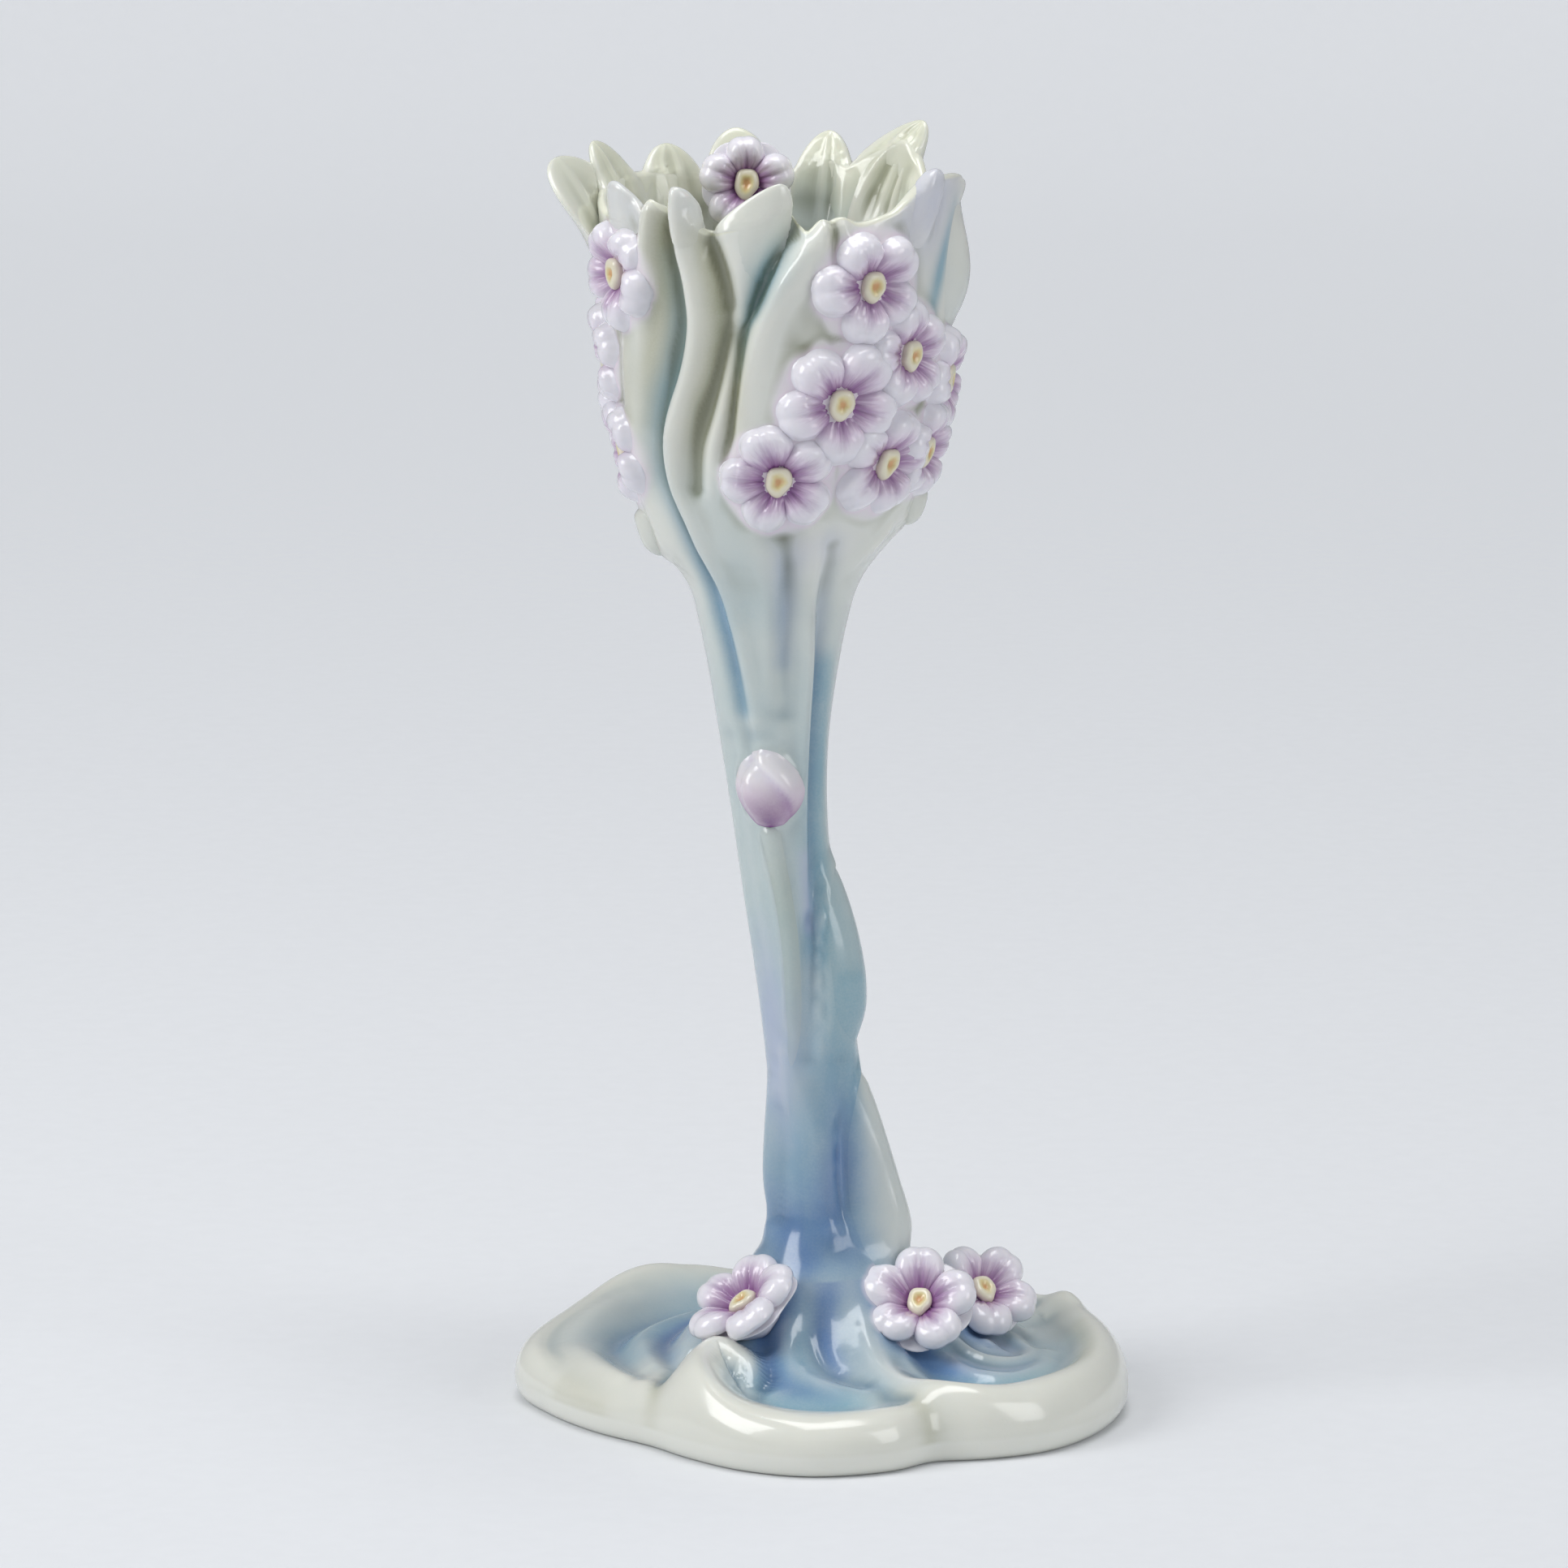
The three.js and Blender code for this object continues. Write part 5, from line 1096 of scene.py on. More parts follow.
LIPS = {
    "lip_left": dict(root=(-86, cup_z(0.27)), tip=(-82, cup_z(0.125)), width=6.5, flare=1.4),
    "lip_right": dict(root=(82, cup_z(0.33)), tip=(79, cup_z(0.205)), width=7.5, flare=1.5),
}
LIP_FORM = dict(flare_power=3, lift=-0.6, thickness=4, blunt=3, lean_edge=0.5)
STEM_LEAF = dict(root=(74, stem_z(0.3)), tip=(90, stem_z(0.605)), width=11.5, thickness=4.4, lift=-0.5,
                 blunt=4.5, flare=0.4, bulge=1.4, root_share=0.4)
LIP_SHADE = 0.1  # share of the pooled glaze and painted shade that a lip shows
ROOT_SPREAD = 9.0
ROOT_RIPPLE, ROOT_WAIST, ROOT_DEPTH = 0.2, 0.1, 0.9  # the root leaf's small forms, and its depth in the wall
ROOT_PALE = 0.8  # share of the stains that its ridge loses
ROOT_LINE = [  # azimuth, t on the stem, half-width, share of the spread
    (88, 0.31, 1.5, 0.11), (84, 0.25, 3.5, 0.36), (82, 0.2, 4.5, 0.53), (82, 0.14, 5, 0.73),
    (82, 0.08, 5.4, 0.93), (82, 0.04, 5.4, 1), (82, -0.04, 5.2, 1),
]


def wall_line(azimuth, z, fold):
    """Face of the wall, which has its folds already."""
    return body_radius(azimuth, z)


for name, lip in LIPS.items():
    points, azimuth, z, _, _ = blade_grid({**lip, **LIP_FORM}, wall_line, 30, 48)
    points = points[::-1]
    masks = {key: values[::-1] for key, values in body_masks(azimuth, z).items()}
    hollow = LIP_SHADE * hollows(points, grid_normals(points))
    link_grid(name, points, masks, hollow, leaf_glaze, "ivory_glaze")

points, azimuth, z, _, _ = blade_grid(STEM_LEAF, wall_line, 60, 48)
link_grid("stem_leaf", points, body_masks(azimuth, z), 0, water_glaze, "blue_glaze")


def root_leaf_points():
    """A ridge on the wall of the stem: high in the middle, and flat at its sides."""
    t_line = [t for _, t, _, _ in ROOT_LINE][::-1]
    columns = [[line[i] for line in ROOT_LINE][::-1] for i in (0, 2, 3)]
    t = np.linspace(t_line[0], t_line[-1], 80)[:, None]
    azimuth, half, share = (along(list(zip(t_line, column)), t) for column in columns)
    turn = circle(72)
    rise = np.sin(turn)
    taper = np.sqrt(np.clip((t_line[-1] - t) / 0.03, 0, 1))
    ripple = ROOT_RIPPLE * np.cos(4 * turn + 0.6) * smoothstep(0.14, 0.02, t) * taper
    waist = 1 - ROOT_WAIST * np.exp(-(((t - 0.03) / 0.03) ** 2))
    ridge = STEM_RADIUS + share * ROOT_SPREAD * waist + ripple
    side = half * np.cos(turn) * (0.85 + 0.6 * (1 - np.abs(rise)) ** 2) * taper
    z = stem_z(t) + 0 * turn
    azimuth = azimuth + np.degrees(side / (STEM_RADIUS + 0.3 * share * ROOT_SPREAD))
    wall = body_radius(azimuth, z)
    out = np.where(rise > 0, np.maximum(ridge - wall, 0.6) * np.abs(rise) ** 1.4, 1.5 * rise) * taper
    return polar(azimuth, wall + out - ROOT_DEPTH, z, axis_x(z)), np.maximum(rise, 0) + 0 * z


points, ridge = root_leaf_points()
z = points[..., 2]
azimuth = np.degrees(np.arctan2(points[..., 0] - axis_x(z), -points[..., 1]))
masks = body_masks(azimuth, z)
pale = 1 - ROOT_PALE * smoothstep(0.1, 0.9, ridge) * smoothstep(stem_z(-0.02), stem_z(0.06), z)
masks["blue"] = masks["blue"] * pale
masks["teal"] = masks["teal"] * pale
link_grid("root_leaf", points, masks, 0, water_glaze, "blue_glaze")
print("lips and stem leaves done")

# %% [markdown]
# The bud and its stalk lie on the stem. A point on a piece that is stuck to the stem or the cup is given as
# millimetres across, up and off the surface, and a function bends that to the wall.

# %% Places on the walls
def on_stem(azimuth, t, x, y, height):
    z = stem_z(t) + y
    direction = azimuth + np.degrees(x / STEM_RADIUS)
    return polar(direction, body_radius(direction, z) + height, z, axis_x(z))


def on_cup(azimuth, t, x, y, height):
    z = cup_z(t) + y
    direction = azimuth + np.degrees(x / bowl_radius(cup_z(t)))
    wall = np.maximum(bowl_radius(z), body_radius(direction, z))
    return polar(direction, wall + height, z, axis_x(z))


def on_frame(place, facing, x, y, height):
    normal = np.array(facing, float) / np.linalg.norm(facing)
    across = np.cross([0, 0, 1], normal)
    across /= np.linalg.norm(across)
    up = np.cross(normal, across)
    x, y, height = np.broadcast_arrays(x, y, height)
    return np.array(place) + x[..., None] * across + y[..., None] * up + height[..., None] * normal


# %% Bud and stalk
BUD_LENGTH, BUD_WIDTH, BUD_RISE = 13.5, 11.0, 5.0
BUD_AZIMUTH, BUD_T = -12, 0.737
BUD_SUNK = 0.7  # depth in the wall
BUD_VIOLET, BUD_PINK = (0.7, 0.14), (0.85, 0.2)  # shares of its length where the stains end and are full
STALK_RADIUS = 1.4
STALK_TAPER = 0.35  # share of its radius that it loses on its way down from the bud
STALK_RISE, STALK_SINK = 0.95, 1.3  # height as a share of its radius, and depth at its lower end
STALK_TINTS = {"blue": 0.3, "teal": 0.8}  # shares of the wall's stains
STALK_KHAKI = 0.12
STALK_LINE = [(0, -12), (0.1, -9), (0.22, -6), (0.37, -6), (0.54, -10), (0.71, -17), (0.85, -24), (1, -31)]
STALK_END = 0.26
# Its pale lilac pool colour is pooled glaze and painted shade in the bud's hollows.
bud_glaze = glaze("bud_glaze", PETAL_WHITE, [("lavender", PETAL_PINK, 0.7, 0.5), ("blue", VIOLET, 1.0, 0.4)],
                  pool_shade=rgb(206, 190, 216), depth=0.7)


def bud_points():
    """Pillow with two petals wrapped round it."""
    s = (1 - np.cos(np.linspace(0, math.pi, 60)))[:, None] / 2
    turn = circle(72)
    swell = np.sin(math.pi * (0.04 + 0.92 * s) ** 0.95) ** 0.75 * np.sqrt(np.clip(16 * s * (1 - s), 0, 1))
    across = BUD_WIDTH / 2 * swell * np.cos(turn)
    up = (s - 0.5) * BUD_LENGTH + 0 * turn
    wraps = [
        [3.0, (3.2, -4.6, 0.6, -0.4), (2.6, -1.4, 0.65, -1.0), (0.6, 2.6, 0.6, -1.0), (-1.6, 5.2, 0.5, -0.4)],
        [3.0, (-2.2, -5, 0.6, -0.4), (-3.0, -1, 0.65, -0.9), (-2.6, 3, 0.55, -0.8), (-1.2, 5.4, 0.5, -0.3)],
    ]
    rise = BUD_RISE * swell * np.sin(turn) + np.where(np.sin(turn) > 0, brush(wraps, across, up), 0)
    points = on_stem(BUD_AZIMUTH, BUD_T, across, up, rise - BUD_SUNK)
    violet = smoothstep(*BUD_VIOLET, s) * (0.85 + 0.15 * np.sin(turn * 5 + 1)) + 0 * turn
    pink = 0.8 * smoothstep(*BUD_PINK, s) + 0 * turn
    return points, {"blue": np.clip(violet, 0, 1), "lavender": pink}


points, masks = bud_points()
link_grid("bud", points, masks, hollows(points, grid_normals(points)), bud_glaze, "lilac_glaze")


def stalk_points():
    """Thin round ridge, which runs down from the bud and sinks into the stem."""
    share = np.linspace(1, 0, 110)[:, None]
    start = BUD_T - (BUD_LENGTH / 2 + 0.3) / STEM_LENGTH
    azimuth = along(STALK_LINE, share)
    turn = circle(32)
    radius = STALK_RADIUS * (1 - STALK_TAPER * share) * np.sqrt(np.clip(share * 40 + 0.3, 0, 1))
    sink = STALK_SINK * smoothstep(0.6, 1, share)
    t = start + (STALK_END - start) * share
    points = on_stem(azimuth, t, radius * np.cos(turn), 0.0, STALK_RISE * radius * np.sin(turn) - sink)
    return points, azimuth, t


points, azimuth, t = stalk_points()
masks = {key: value + np.zeros(points.shape[:2]) for key, value in body_masks(azimuth, stem_z(t)).items()}
masks["khaki"] = np.clip(masks["khaki"] + STALK_KHAKI, 0, 1)
for key, share in STALK_TINTS.items():
    masks[key] = masks[key] * share
link_grid("bud_stalk", points, masks, 0, water_glaze, "blue_glaze")
print("bud and stalk done")

# %% [markdown]
# A primrose has five plump petals with a notch at the tip, rolled thin towards the throat. One petal is
# modelled as a closed pillow; Geometry Nodes set as many as are wanted round the centre, each turned,
# tipped and sized a little differently, which is how such flowers are made up by hand. Then a function lays
# the flower on its wall.

# %% One petal
PETALS = 5
PETAL_THICKNESS = 3.0
PETAL_EDGE = [  # outline about the petal's middle: (degrees from the tip, share of the flower's radius)
    (-180, 0.45), (-150, 0.41), (-122, 0.38), (-96, 0.405), (-74, 0.425), (-52, 0.445), (-30, 0.45),
    (-12, 0.432), (0, 0.415), (12, 0.432), (30, 0.45), (52, 0.445), (74, 0.425), (96, 0.405), (122, 0.38),
    (150, 0.41),
]
PETAL_MIDDLE = 0.58  # how far out the petal's middle lies
PETAL_SUNK = 0.15
CREASE, CREASE_WIDTH = 0.15, 4.5  # middle crease: share of the thickness, width in degrees
SIDE_CREASE, SIDE_CREASE_AT, SIDE_CREASE_WIDTH = 0.09, 18, 4
NOTCH, NOTCH_WIDTH = 0.13, 0.1


def petal_mesh():
    """Petal of a flower of radius 1 along +Y, with its height in millimetres, edge rows first."""
    ways = np.linspace(180, -180, 80, endpoint=False)[None, :]
    edge = around(PETAL_EDGE, ways)
    turn = np.radians(ways)
    shares = np.sin(np.radians(np.linspace(90, 0, 26)))[:-1, None]
    x = edge * shares * np.sin(turn)
    y = PETAL_MIDDLE + edge * shares * np.cos(turn)
    out = np.hypot(x, y)
    fan = np.degrees(np.arctan2(x, np.maximum(y, 0.02)))
    pillow = (1 - shares**5) ** 0.55
    slope = 0.3 + 0.78 * smoothstep(0.16, 0.66, out) - 0.1 * smoothstep(0.8, 1.0, out)
    crease = CREASE * np.exp(-((fan / CREASE_WIDTH) ** 2))
    crease = crease * smoothstep(0.95, 0.5, out) * smoothstep(0.16, 0.4, out)
    side_crease = SIDE_CREASE * np.exp(-(((np.abs(fan) - SIDE_CREASE_AT) / SIDE_CREASE_WIDTH) ** 2))
    crease = crease + side_crease * smoothstep(0.8, 0.4, out)
    notch = NOTCH * np.exp(-((x / NOTCH_WIDTH) ** 2)) * smoothstep(0.7, 0.98, out)
    height = PETAL_THICKNESS * pillow * (slope - crease - notch) - PETAL_SUNK
    top = np.stack(np.broadcast_arrays(x, y, height), axis=-1)
    low_shares = np.array([0.55, 0.96])[:, None]
    low = np.stack(np.broadcast_arrays(edge * low_shares * np.sin(turn),
                                       PETAL_MIDDLE + edge * low_shares * np.cos(turn),
                                       np.array([-1.0, -0.9])[:, None]), axis=-1)
    grid = np.concatenate([low, top])
    out, side = np.hypot(grid[..., 0], grid[..., 1]), grid[..., 0]
    return grid_mesh("petal", grid / MM, {"out": out, "side": side})


petal = add_object("petal_pattern", petal_mesh())
print("petal", len(petal.data.polygons), "faces")


# %% Geometry Nodes tree of a corolla
def build_corolla_tree():
    """Petals round a centre, each turned, tipped and sized a little differently, and an optional seat."""
    tree = bpy.data.node_groups.new("Corolla", "GeometryNodeTree")
    geometry, count, thing = "NodeSocketGeometry", "NodeSocketInt", "NodeSocketObject"
    wires, enter, leave = add_sockets(
        tree,
        [("Geometry", geometry, None), ("Petals", count, PETALS), ("Petal", thing, None),
         ("Seat", thing, None), ("Radius", VALUE, 9.0), ("First Turn", VALUE, 0.0), ("Tip", VALUE, 5.0),
         ("Lap", VALUE, 6.0), ("Plumpness", VALUE, 1.0), ("Variation", VALUE, 0.06), ("Seed", count, 1),
         ("Finish", "NodeSocketMaterial", None)],
        [("Geometry", geometry)])
    calc = wires.math

    def chance(low, high, offset):
        inputs = {2: low, 3: high, "Seed": calc("ADD", enter["Seed"], offset)}
        return wires.add("FunctionNodeRandomValue", inputs, data_type="FLOAT").outputs[1]

    index = wires.add("GeometryNodeInputIndex").outputs[0]
    turn = calc("MULTIPLY", index, calc("DIVIDE", 360.0, enter["Petals"]))
    turn = calc("ADD", calc("ADD", turn, enter["First Turn"]), chance(-4.0, 4.0, 11))
    tip = calc("ADD", enter["Tip"], chance(-2.5, 2.5, 23))
    lap = calc("ADD", enter["Lap"], chance(-2.0, 2.0, 37))
    turn = calc("MULTIPLY", calc("RADIANS", turn), -1.0)
    angles = {"X": calc("RADIANS", tip), "Y": calc("RADIANS", lap), "Z": turn}
    spin = wires.add("ShaderNodeCombineXYZ", angles)
    size = calc("ADD", calc("MULTIPLY", chance(-1.0, 1.0, 53), enter["Variation"]), 1.0)
    size = calc("MULTIPLY", size, enter["Radius"])
    scale = wires.add("ShaderNodeCombineXYZ", {"X": size, "Y": size, "Z": enter["Plumpness"]})
    line = wires.add("GeometryNodeMeshLine", {"Count": enter["Petals"], "Offset": (0, 0, 0)})
    pattern = wires.add("GeometryNodeObjectInfo", {"Object": enter["Petal"]})
    placed = wires.add("GeometryNodeInstanceOnPoints", {
        "Points": line.outputs[0], "Instance": pattern.outputs["Geometry"], "Rotation": spin.outputs[0],
        "Scale": scale.outputs[0]})
    marked = wires.add("GeometryNodeStoreNamedAttribute", {
        "Geometry": placed.outputs[0], "Name": "petal_chance", "Value": chance(0.0, 1.0, 71)},
        data_type="FLOAT", domain="INSTANCE")
    real = wires.add("GeometryNodeRealizeInstances", {0: marked.outputs[0]})
    seat = wires.add("GeometryNodeObjectInfo", {"Object": enter["Seat"]})
    joined = wires.add("GeometryNodeJoinGeometry", {0: real.outputs[0]})
    wires.feed(joined.inputs[0], seat.outputs["Geometry"])
    coat = wires.add("GeometryNodeSetMaterial", {"Geometry": joined.outputs[0], "Material": enter["Finish"]})
    wires.feed(leave[0], coat.outputs[0])
    return tree


corolla_tree = build_corolla_tree()
print("corolla tree", len(corolla_tree.nodes), "nodes")


# %% Finish of the petals
def build_petal_stain():
    """Violet throat: fine lines that run out along the petal, and a cloudy flush between them."""
    group = bpy.data.node_groups.new("Petal stain", "ShaderNodeTree")
    wires, enter, leave = add_sockets(
        group,
        [("White", COLOUR, PETAL_WHITE), ("Pink", COLOUR, PETAL_PINK), ("Violet", COLOUR, VIOLET),
         ("Depth", VALUE, 1.0), ("Reach", VALUE, 0.62)],
        [("Colour", COLOUR)])
    calc = wires.math
    out, side, luck = (wires.mask(name) for name in ("out", "side", "petal_chance"))
    fan = calc("DIVIDE", side, calc("ADD", out, 0.05))
    place = wires.add("ShaderNodeCombineXYZ", {
        "X": calc("MULTIPLY", fan, 5.0), "Y": calc("MULTIPLY", out, 1.2), "Z": calc("MULTIPLY", luck, 37.0)})
    swing = calc("SUBTRACT", wires.noise(2.4, 3, 0.6, place.outputs[0]), 0.5)
    cloud = wires.noise(240.0, 3, 0.5, wires.place())
    wave = calc("ADD", calc("MULTIPLY", fan, 22.0), calc("MULTIPLY", swing, 5.0))
    lines = calc("POWER", calc("ADD", calc("MULTIPLY", calc("COSINE", wave), 0.5), 0.5), 5.0)
    star = calc("MULTIPLY", calc("COSINE", calc("MULTIPLY", fan, 8.6)), 0.14)
    ends = calc("ADD", calc("ADD", enter["Reach"], star), calc("MULTIPLY", swing, 0.6))
    lines = calc("MULTIPLY", lines, wires.step(out, 0.16, ends, 0.9, 0.0))
    flush = calc("POWER", wires.step(out, 0.12, calc("ADD", ends, 0.06), 1.0, 0.0), 1.2)
    violet = calc("MULTIPLY", calc("MAXIMUM", lines, flush), enter["Depth"], clamp=True)
    pale = calc("MULTIPLY", wires.step(out, 0.3, 0.88, 0.75, 0.0), calc("ADD", cloud, 0.25), clamp=True)
    under = wires.mix(pale, enter["White"], enter["Pink"])
    wires.feed(leave["Colour"], wires.mix(violet, under, enter["Violet"]))
    return group


PETAL_STAIN = build_petal_stain()


def petal_glaze(name, depth, reach):
    material, wires = new_material(name)
    return finish_shader(material, wires, wires.group(PETAL_STAIN, Depth=depth, Reach=reach)["Colour"])


pale_petals = petal_glaze("pale_petals", 0.98, 0.68)
deep_petals = petal_glaze("deep_petals", 1.0, 0.82)


# %% Finish of the centres
BUTTON_STOPS = [(0.0, BUTTON_ORANGE), (0.1, BUTTON_ORANGE), (0.3, BUTTON_YELLOW), (0.45, BUTTON_CREAM),
                (0.78, BUTTON_CREAM), (0.9, BUTTON_RING)]  # from the middle out


def button_glaze():
    """Flower centre: orange dimple, yellow top, cream shoulder and a blue-grey ring."""
    material, wires = new_material("button_glaze")
    wobble = wires.math("SUBTRACT", wires.noise(500.0, 2, 0.5, wires.place()), 0.5)
    place = wires.math("ADD", wires.mask("from_middle"), wires.math("MULTIPLY", wobble, 0.3))
    ramp = wires.add("ShaderNodeValToRGB", {"Fac": place})
    while len(ramp.color_ramp.elements) < len(BUTTON_STOPS):
        ramp.color_ramp.elements.new(0.5)
    for element, (position, colour) in zip(ramp.color_ramp.elements, BUTTON_STOPS):
        element.position = position
        element.color = colour
    return finish_shader(material, wires, ramp.outputs["Color"])


button_finish = button_glaze()
print("petal finishes done")

# %% Where the primroses are
INNER_FLOWER = dict(azimuth=-167, standoff=5, facing=(0.02, -1, 0.1), radius=8.4, turn=36, seat=5, tip=8,
                    plumpness=0.85)
BASE_FLOWERS = {
    "base_left": dict(azimuth=-41, beyond=6.2, rise=4.6, facing=(-0.48, -0.32, 0.84), radius=10.6, turn=10,
                      seat=3.6, tip=14, plumpness=0.8),
    "base_right": dict(azimuth=57.7, beyond=6.6, rise=4.6, facing=(-0.05, -0.72, 0.7), radius=10, turn=36,
                       seat=6, tip=14, plumpness=0.8),
    "base_far": dict(azimuth=101.3, beyond=14.9, rise=3.1, facing=(0.35, -0.55, 0.75), radius=9.4, turn=20,
                     seat=3.5, tip=12, plumpness=0.8),
}
DEEP = ("right_low", "base_left", "base_right", "inner")  # flowers with the longer stain
CENTRE_RADIUS, CENTRE_HEIGHT, CENTRE_SEAT = 2.0, 1.6, 0.7
CENTRE_PROFILE = [  # width and height, as shares
    (0.86, -0.9), (1.02, -0.1), (1.08, 0.25), (1.06, 0.55), (0.96, 0.8), (0.8, 0.95), (0.62, 1.0),
    (0.44, 0.95), (0.28, 0.82), (0.16, 0.74), (0.06, 0.72)]


# %% Making a flower
def turned(profile, count):
    """Stations from 0 to 1 along a profile, with its width and height there, as columns."""
    stations = np.linspace(0, 1, count)[:, None]
    grid = np.linspace(0, 1, len(profile))
    width, rise = (along(np.stack([grid, column], axis=1), stations) for column in np.array(profile).T)
    return stations, width, rise


def flower_coordinates(x, y, height):
    return np.stack(np.broadcast_arrays(x, y, height), axis=-1)


def seat_mesh(radius, depth):
    """Tapered foot of a flower that stands free of its wall."""
    profile = [(0.3, -depth - 1.2), (0.42, -depth), (0.5, -0.6 * depth), (0.62, -0.25 * depth), (0.8, -0.4),
               (0.86, 0.2), (0.5, 0.6)]
    _, width, rise = turned(profile, 26)
    turn = circle(64, 360)
    reach = radius * width * (1 + 0.05 * np.cos(PETALS * turn))
    points = flower_coordinates(reach * np.sin(turn), -reach * np.cos(turn), rise)
    return grid_mesh("seat", points / MM, {"out": 1.0 + 0 * width, "side": 0 * width})


def button_mesh(name):
    """Rolled centre with a dimple, as rings from its foot to the middle."""
    stations, width, rise = turned(CENTRE_PROFILE, 30)
    turn = circle(40, 360)
    lump = 1 + 0.05 * np.cos(3 * turn + 0.7) + 0.03 * np.cos(5 * turn) + 0.06 * np.cos(2 * turn + 1)
    reach = CENTRE_RADIUS * width * lump
    points = flower_coordinates(reach * np.sin(turn), -1.2 * reach * np.cos(turn),
                                CENTRE_SEAT + CENTRE_HEIGHT * rise)
    return grid_mesh(name, points / MM, {"from_middle": 1 - stations + 0 * turn})


def corolla(name, spec, finish):
    """Petals in flower coordinates, as a plain mesh."""
    holder = add_object("holder", bpy.data.meshes.new("holder"))
    modifier = holder.modifiers.new("Corolla", "NODES")
    modifier.node_group = corolla_tree
    sockets = {s.name: s.identifier for s in corolla_tree.interface.items_tree if s.in_out == "INPUT"}
    settings = {"Petals": PETALS, "Petal": petal, "Radius": float(spec["radius"]),
                "First Turn": spec["turn"] + 180.0 / PETALS, "Seed": spec["seed"], "Finish": finish,
                "Tip": spec.get("tip", 4.0), "Plumpness": spec.get("plumpness", 1.0)}
    seat = None
    if "seat" in spec:
        seat = add_object("seat", seat_mesh(spec["radius"], spec["seat"]))
        settings["Seat"] = seat
    for label, value in settings.items():
        modifier[sockets[label]] = value
    evaluated = holder.evaluated_get(bpy.context.evaluated_depsgraph_get())
    mesh = bpy.data.meshes.new_from_object(evaluated)
    mesh.name = name
    holder.modifiers.clear()
    bpy.data.objects.remove(holder)
    if seat:
        bpy.data.objects.remove(seat)
    return mesh


def bend(mesh, place):
    """Moves a mesh from flower coordinates in millimetres to its place on the object."""
    flat = np.empty(len(mesh.vertices) * 3)
    mesh.vertices.foreach_get("co", flat)
    x, y, height = flat.reshape(-1, 3).T
    mesh.vertices.foreach_set("co", (place(x, y, height) * MM).ravel())
    mesh.update()
    return mesh


def flower(name, spec, place):
    """Corolla and centre of one primrose, as two pieces."""
    finish = deep_petals if name in DEEP else pale_petals
    petals = bend(corolla("primrose_" + name, spec, finish), place)
    link(f"primrose_{name}_glazed", petals, finish, "lilac_glaze", "primrose_" + name)
    centre = bend(button_mesh("centre_" + name), place)
    link(f"centre_{name}_glazed", centre, button_finish, "yellow_glaze", "centre_" + name)


# %% All the primroses
for seed, (name, (azimuth, t, radius, turn)) in enumerate(CUP_FLOWERS.items()):
    spec = dict(radius=radius, turn=turn, seed=seed + 3)
    flower(name, spec, lambda x, y, h, a=azimuth, t=t: on_cup(a, t, x, y, h))
reach = bowl_radius(RIM_Z) - RIM_WALL - INNER_FLOWER["standoff"]
spot = polar(INNER_FLOWER["azimuth"], reach, RIM_Z, axis_x(RIM_Z))
spec = dict(INNER_FLOWER, seed=31)
flower("inner", spec, lambda x, y, h, p=spot, f=spec["facing"]: on_frame(p, f, x, y, h))
for seed, (name, spec) in enumerate(BASE_FLOWERS.items()):
    reach = FOOT_RADIUS + spec["beyond"]
    ground = float(base_height(np.array([[spec["azimuth"]]]), np.array([[reach]]))[0][0, 0])
    spot = polar(spec["azimuth"], reach, ground + spec["rise"])
    spec = dict(spec, seed=seed + 41)
    flower(name, spec, lambda x, y, h, p=spot, f=spec["facing"]: on_frame(p, f, x, y, h))
bpy.data.objects.remove(petal)
print("primroses", len(CUP_FLOWERS) + len(BASE_FLOWERS) + 1)

# %% [markdown]
# Every joint of the real object is filled with wet slip and then covered by the glaze, so nothing meets at
# a sharp corner. Near a joint both surfaces swell towards each other, the more the closer they are, and
# their normals turn to a common one on the line where they meet.

# %% Slip in the joints
SLIP_RISE = 0.25  # how much a surface swells, as a share of the slip's size
FACING = (-0.45, -0.1)  # limits of the product of two normals: no slip where the surfaces face each other
SLIP_SIZE = [  # reach of the slip in millimetres, by the start of a piece's name
    ("centre_", 0), ("primrose_", 1.5), ("leaf_", 3.2), ("lip_", 4.0), ("stem_leaf", 5.0),
    ("root_leaf", 6.0), ("bud_stalk", 2.6), ("bud", 2.2),
]


def surface(mesh):
    """Points in millimetres, unit normals and polygons of a mesh."""
    points, normals = np.empty(len(mesh.vertices) * 3), np.empty(len(mesh.vertices) * 3)
    mesh.vertices.foreach_get("co", points)
    mesh.vertex_normals.foreach_get("vector", normals)
    return points.reshape(-1, 3) / MM, normals.reshape(-1, 3), [tuple(p.vertices) for p in mesh.polygons]


def closeness(points, normals, tree, size):
    """How near each point is to the other surface (1 where they touch, 0 at the slip's reach), how far the
    two turn away from each other there, and the other surface's normal."""
    close, other = np.zeros(len(points)), normals.copy()
    for i, (x, y, z) in enumerate(points.tolist()):
        place, normal, _, distance = tree.find_nearest((x, y, z), size)
        if place is None:
            continue
        close[i] = 1 - distance / size
        other[i] = normal
    facing = np.sum(normals * other, axis=1)
    close = close * smoothstep(*FACING, facing)
    return close, np.clip(1 - facing, 0, 1), other


def evened(values, shape, times=4):
    """Values at the points of a grid mesh, blurred along the grid; its two end points keep theirs."""
    count = shape[0] * shape[1]
    grid = blurred(values[:count].reshape(*shape, -1), times)
    return np.concatenate([grid.reshape(count, *values.shape[1:]), values[count:]])


def merged(normals, other, close):
    """Normals turned half-way to those of the other surface where the two meet."""
    share = 0.5 * (close**2)[:, None]
    result = normals * (1 - share) + other * share
    return result / np.maximum(np.linalg.norm(result, axis=1, keepdims=True), 1e-9)


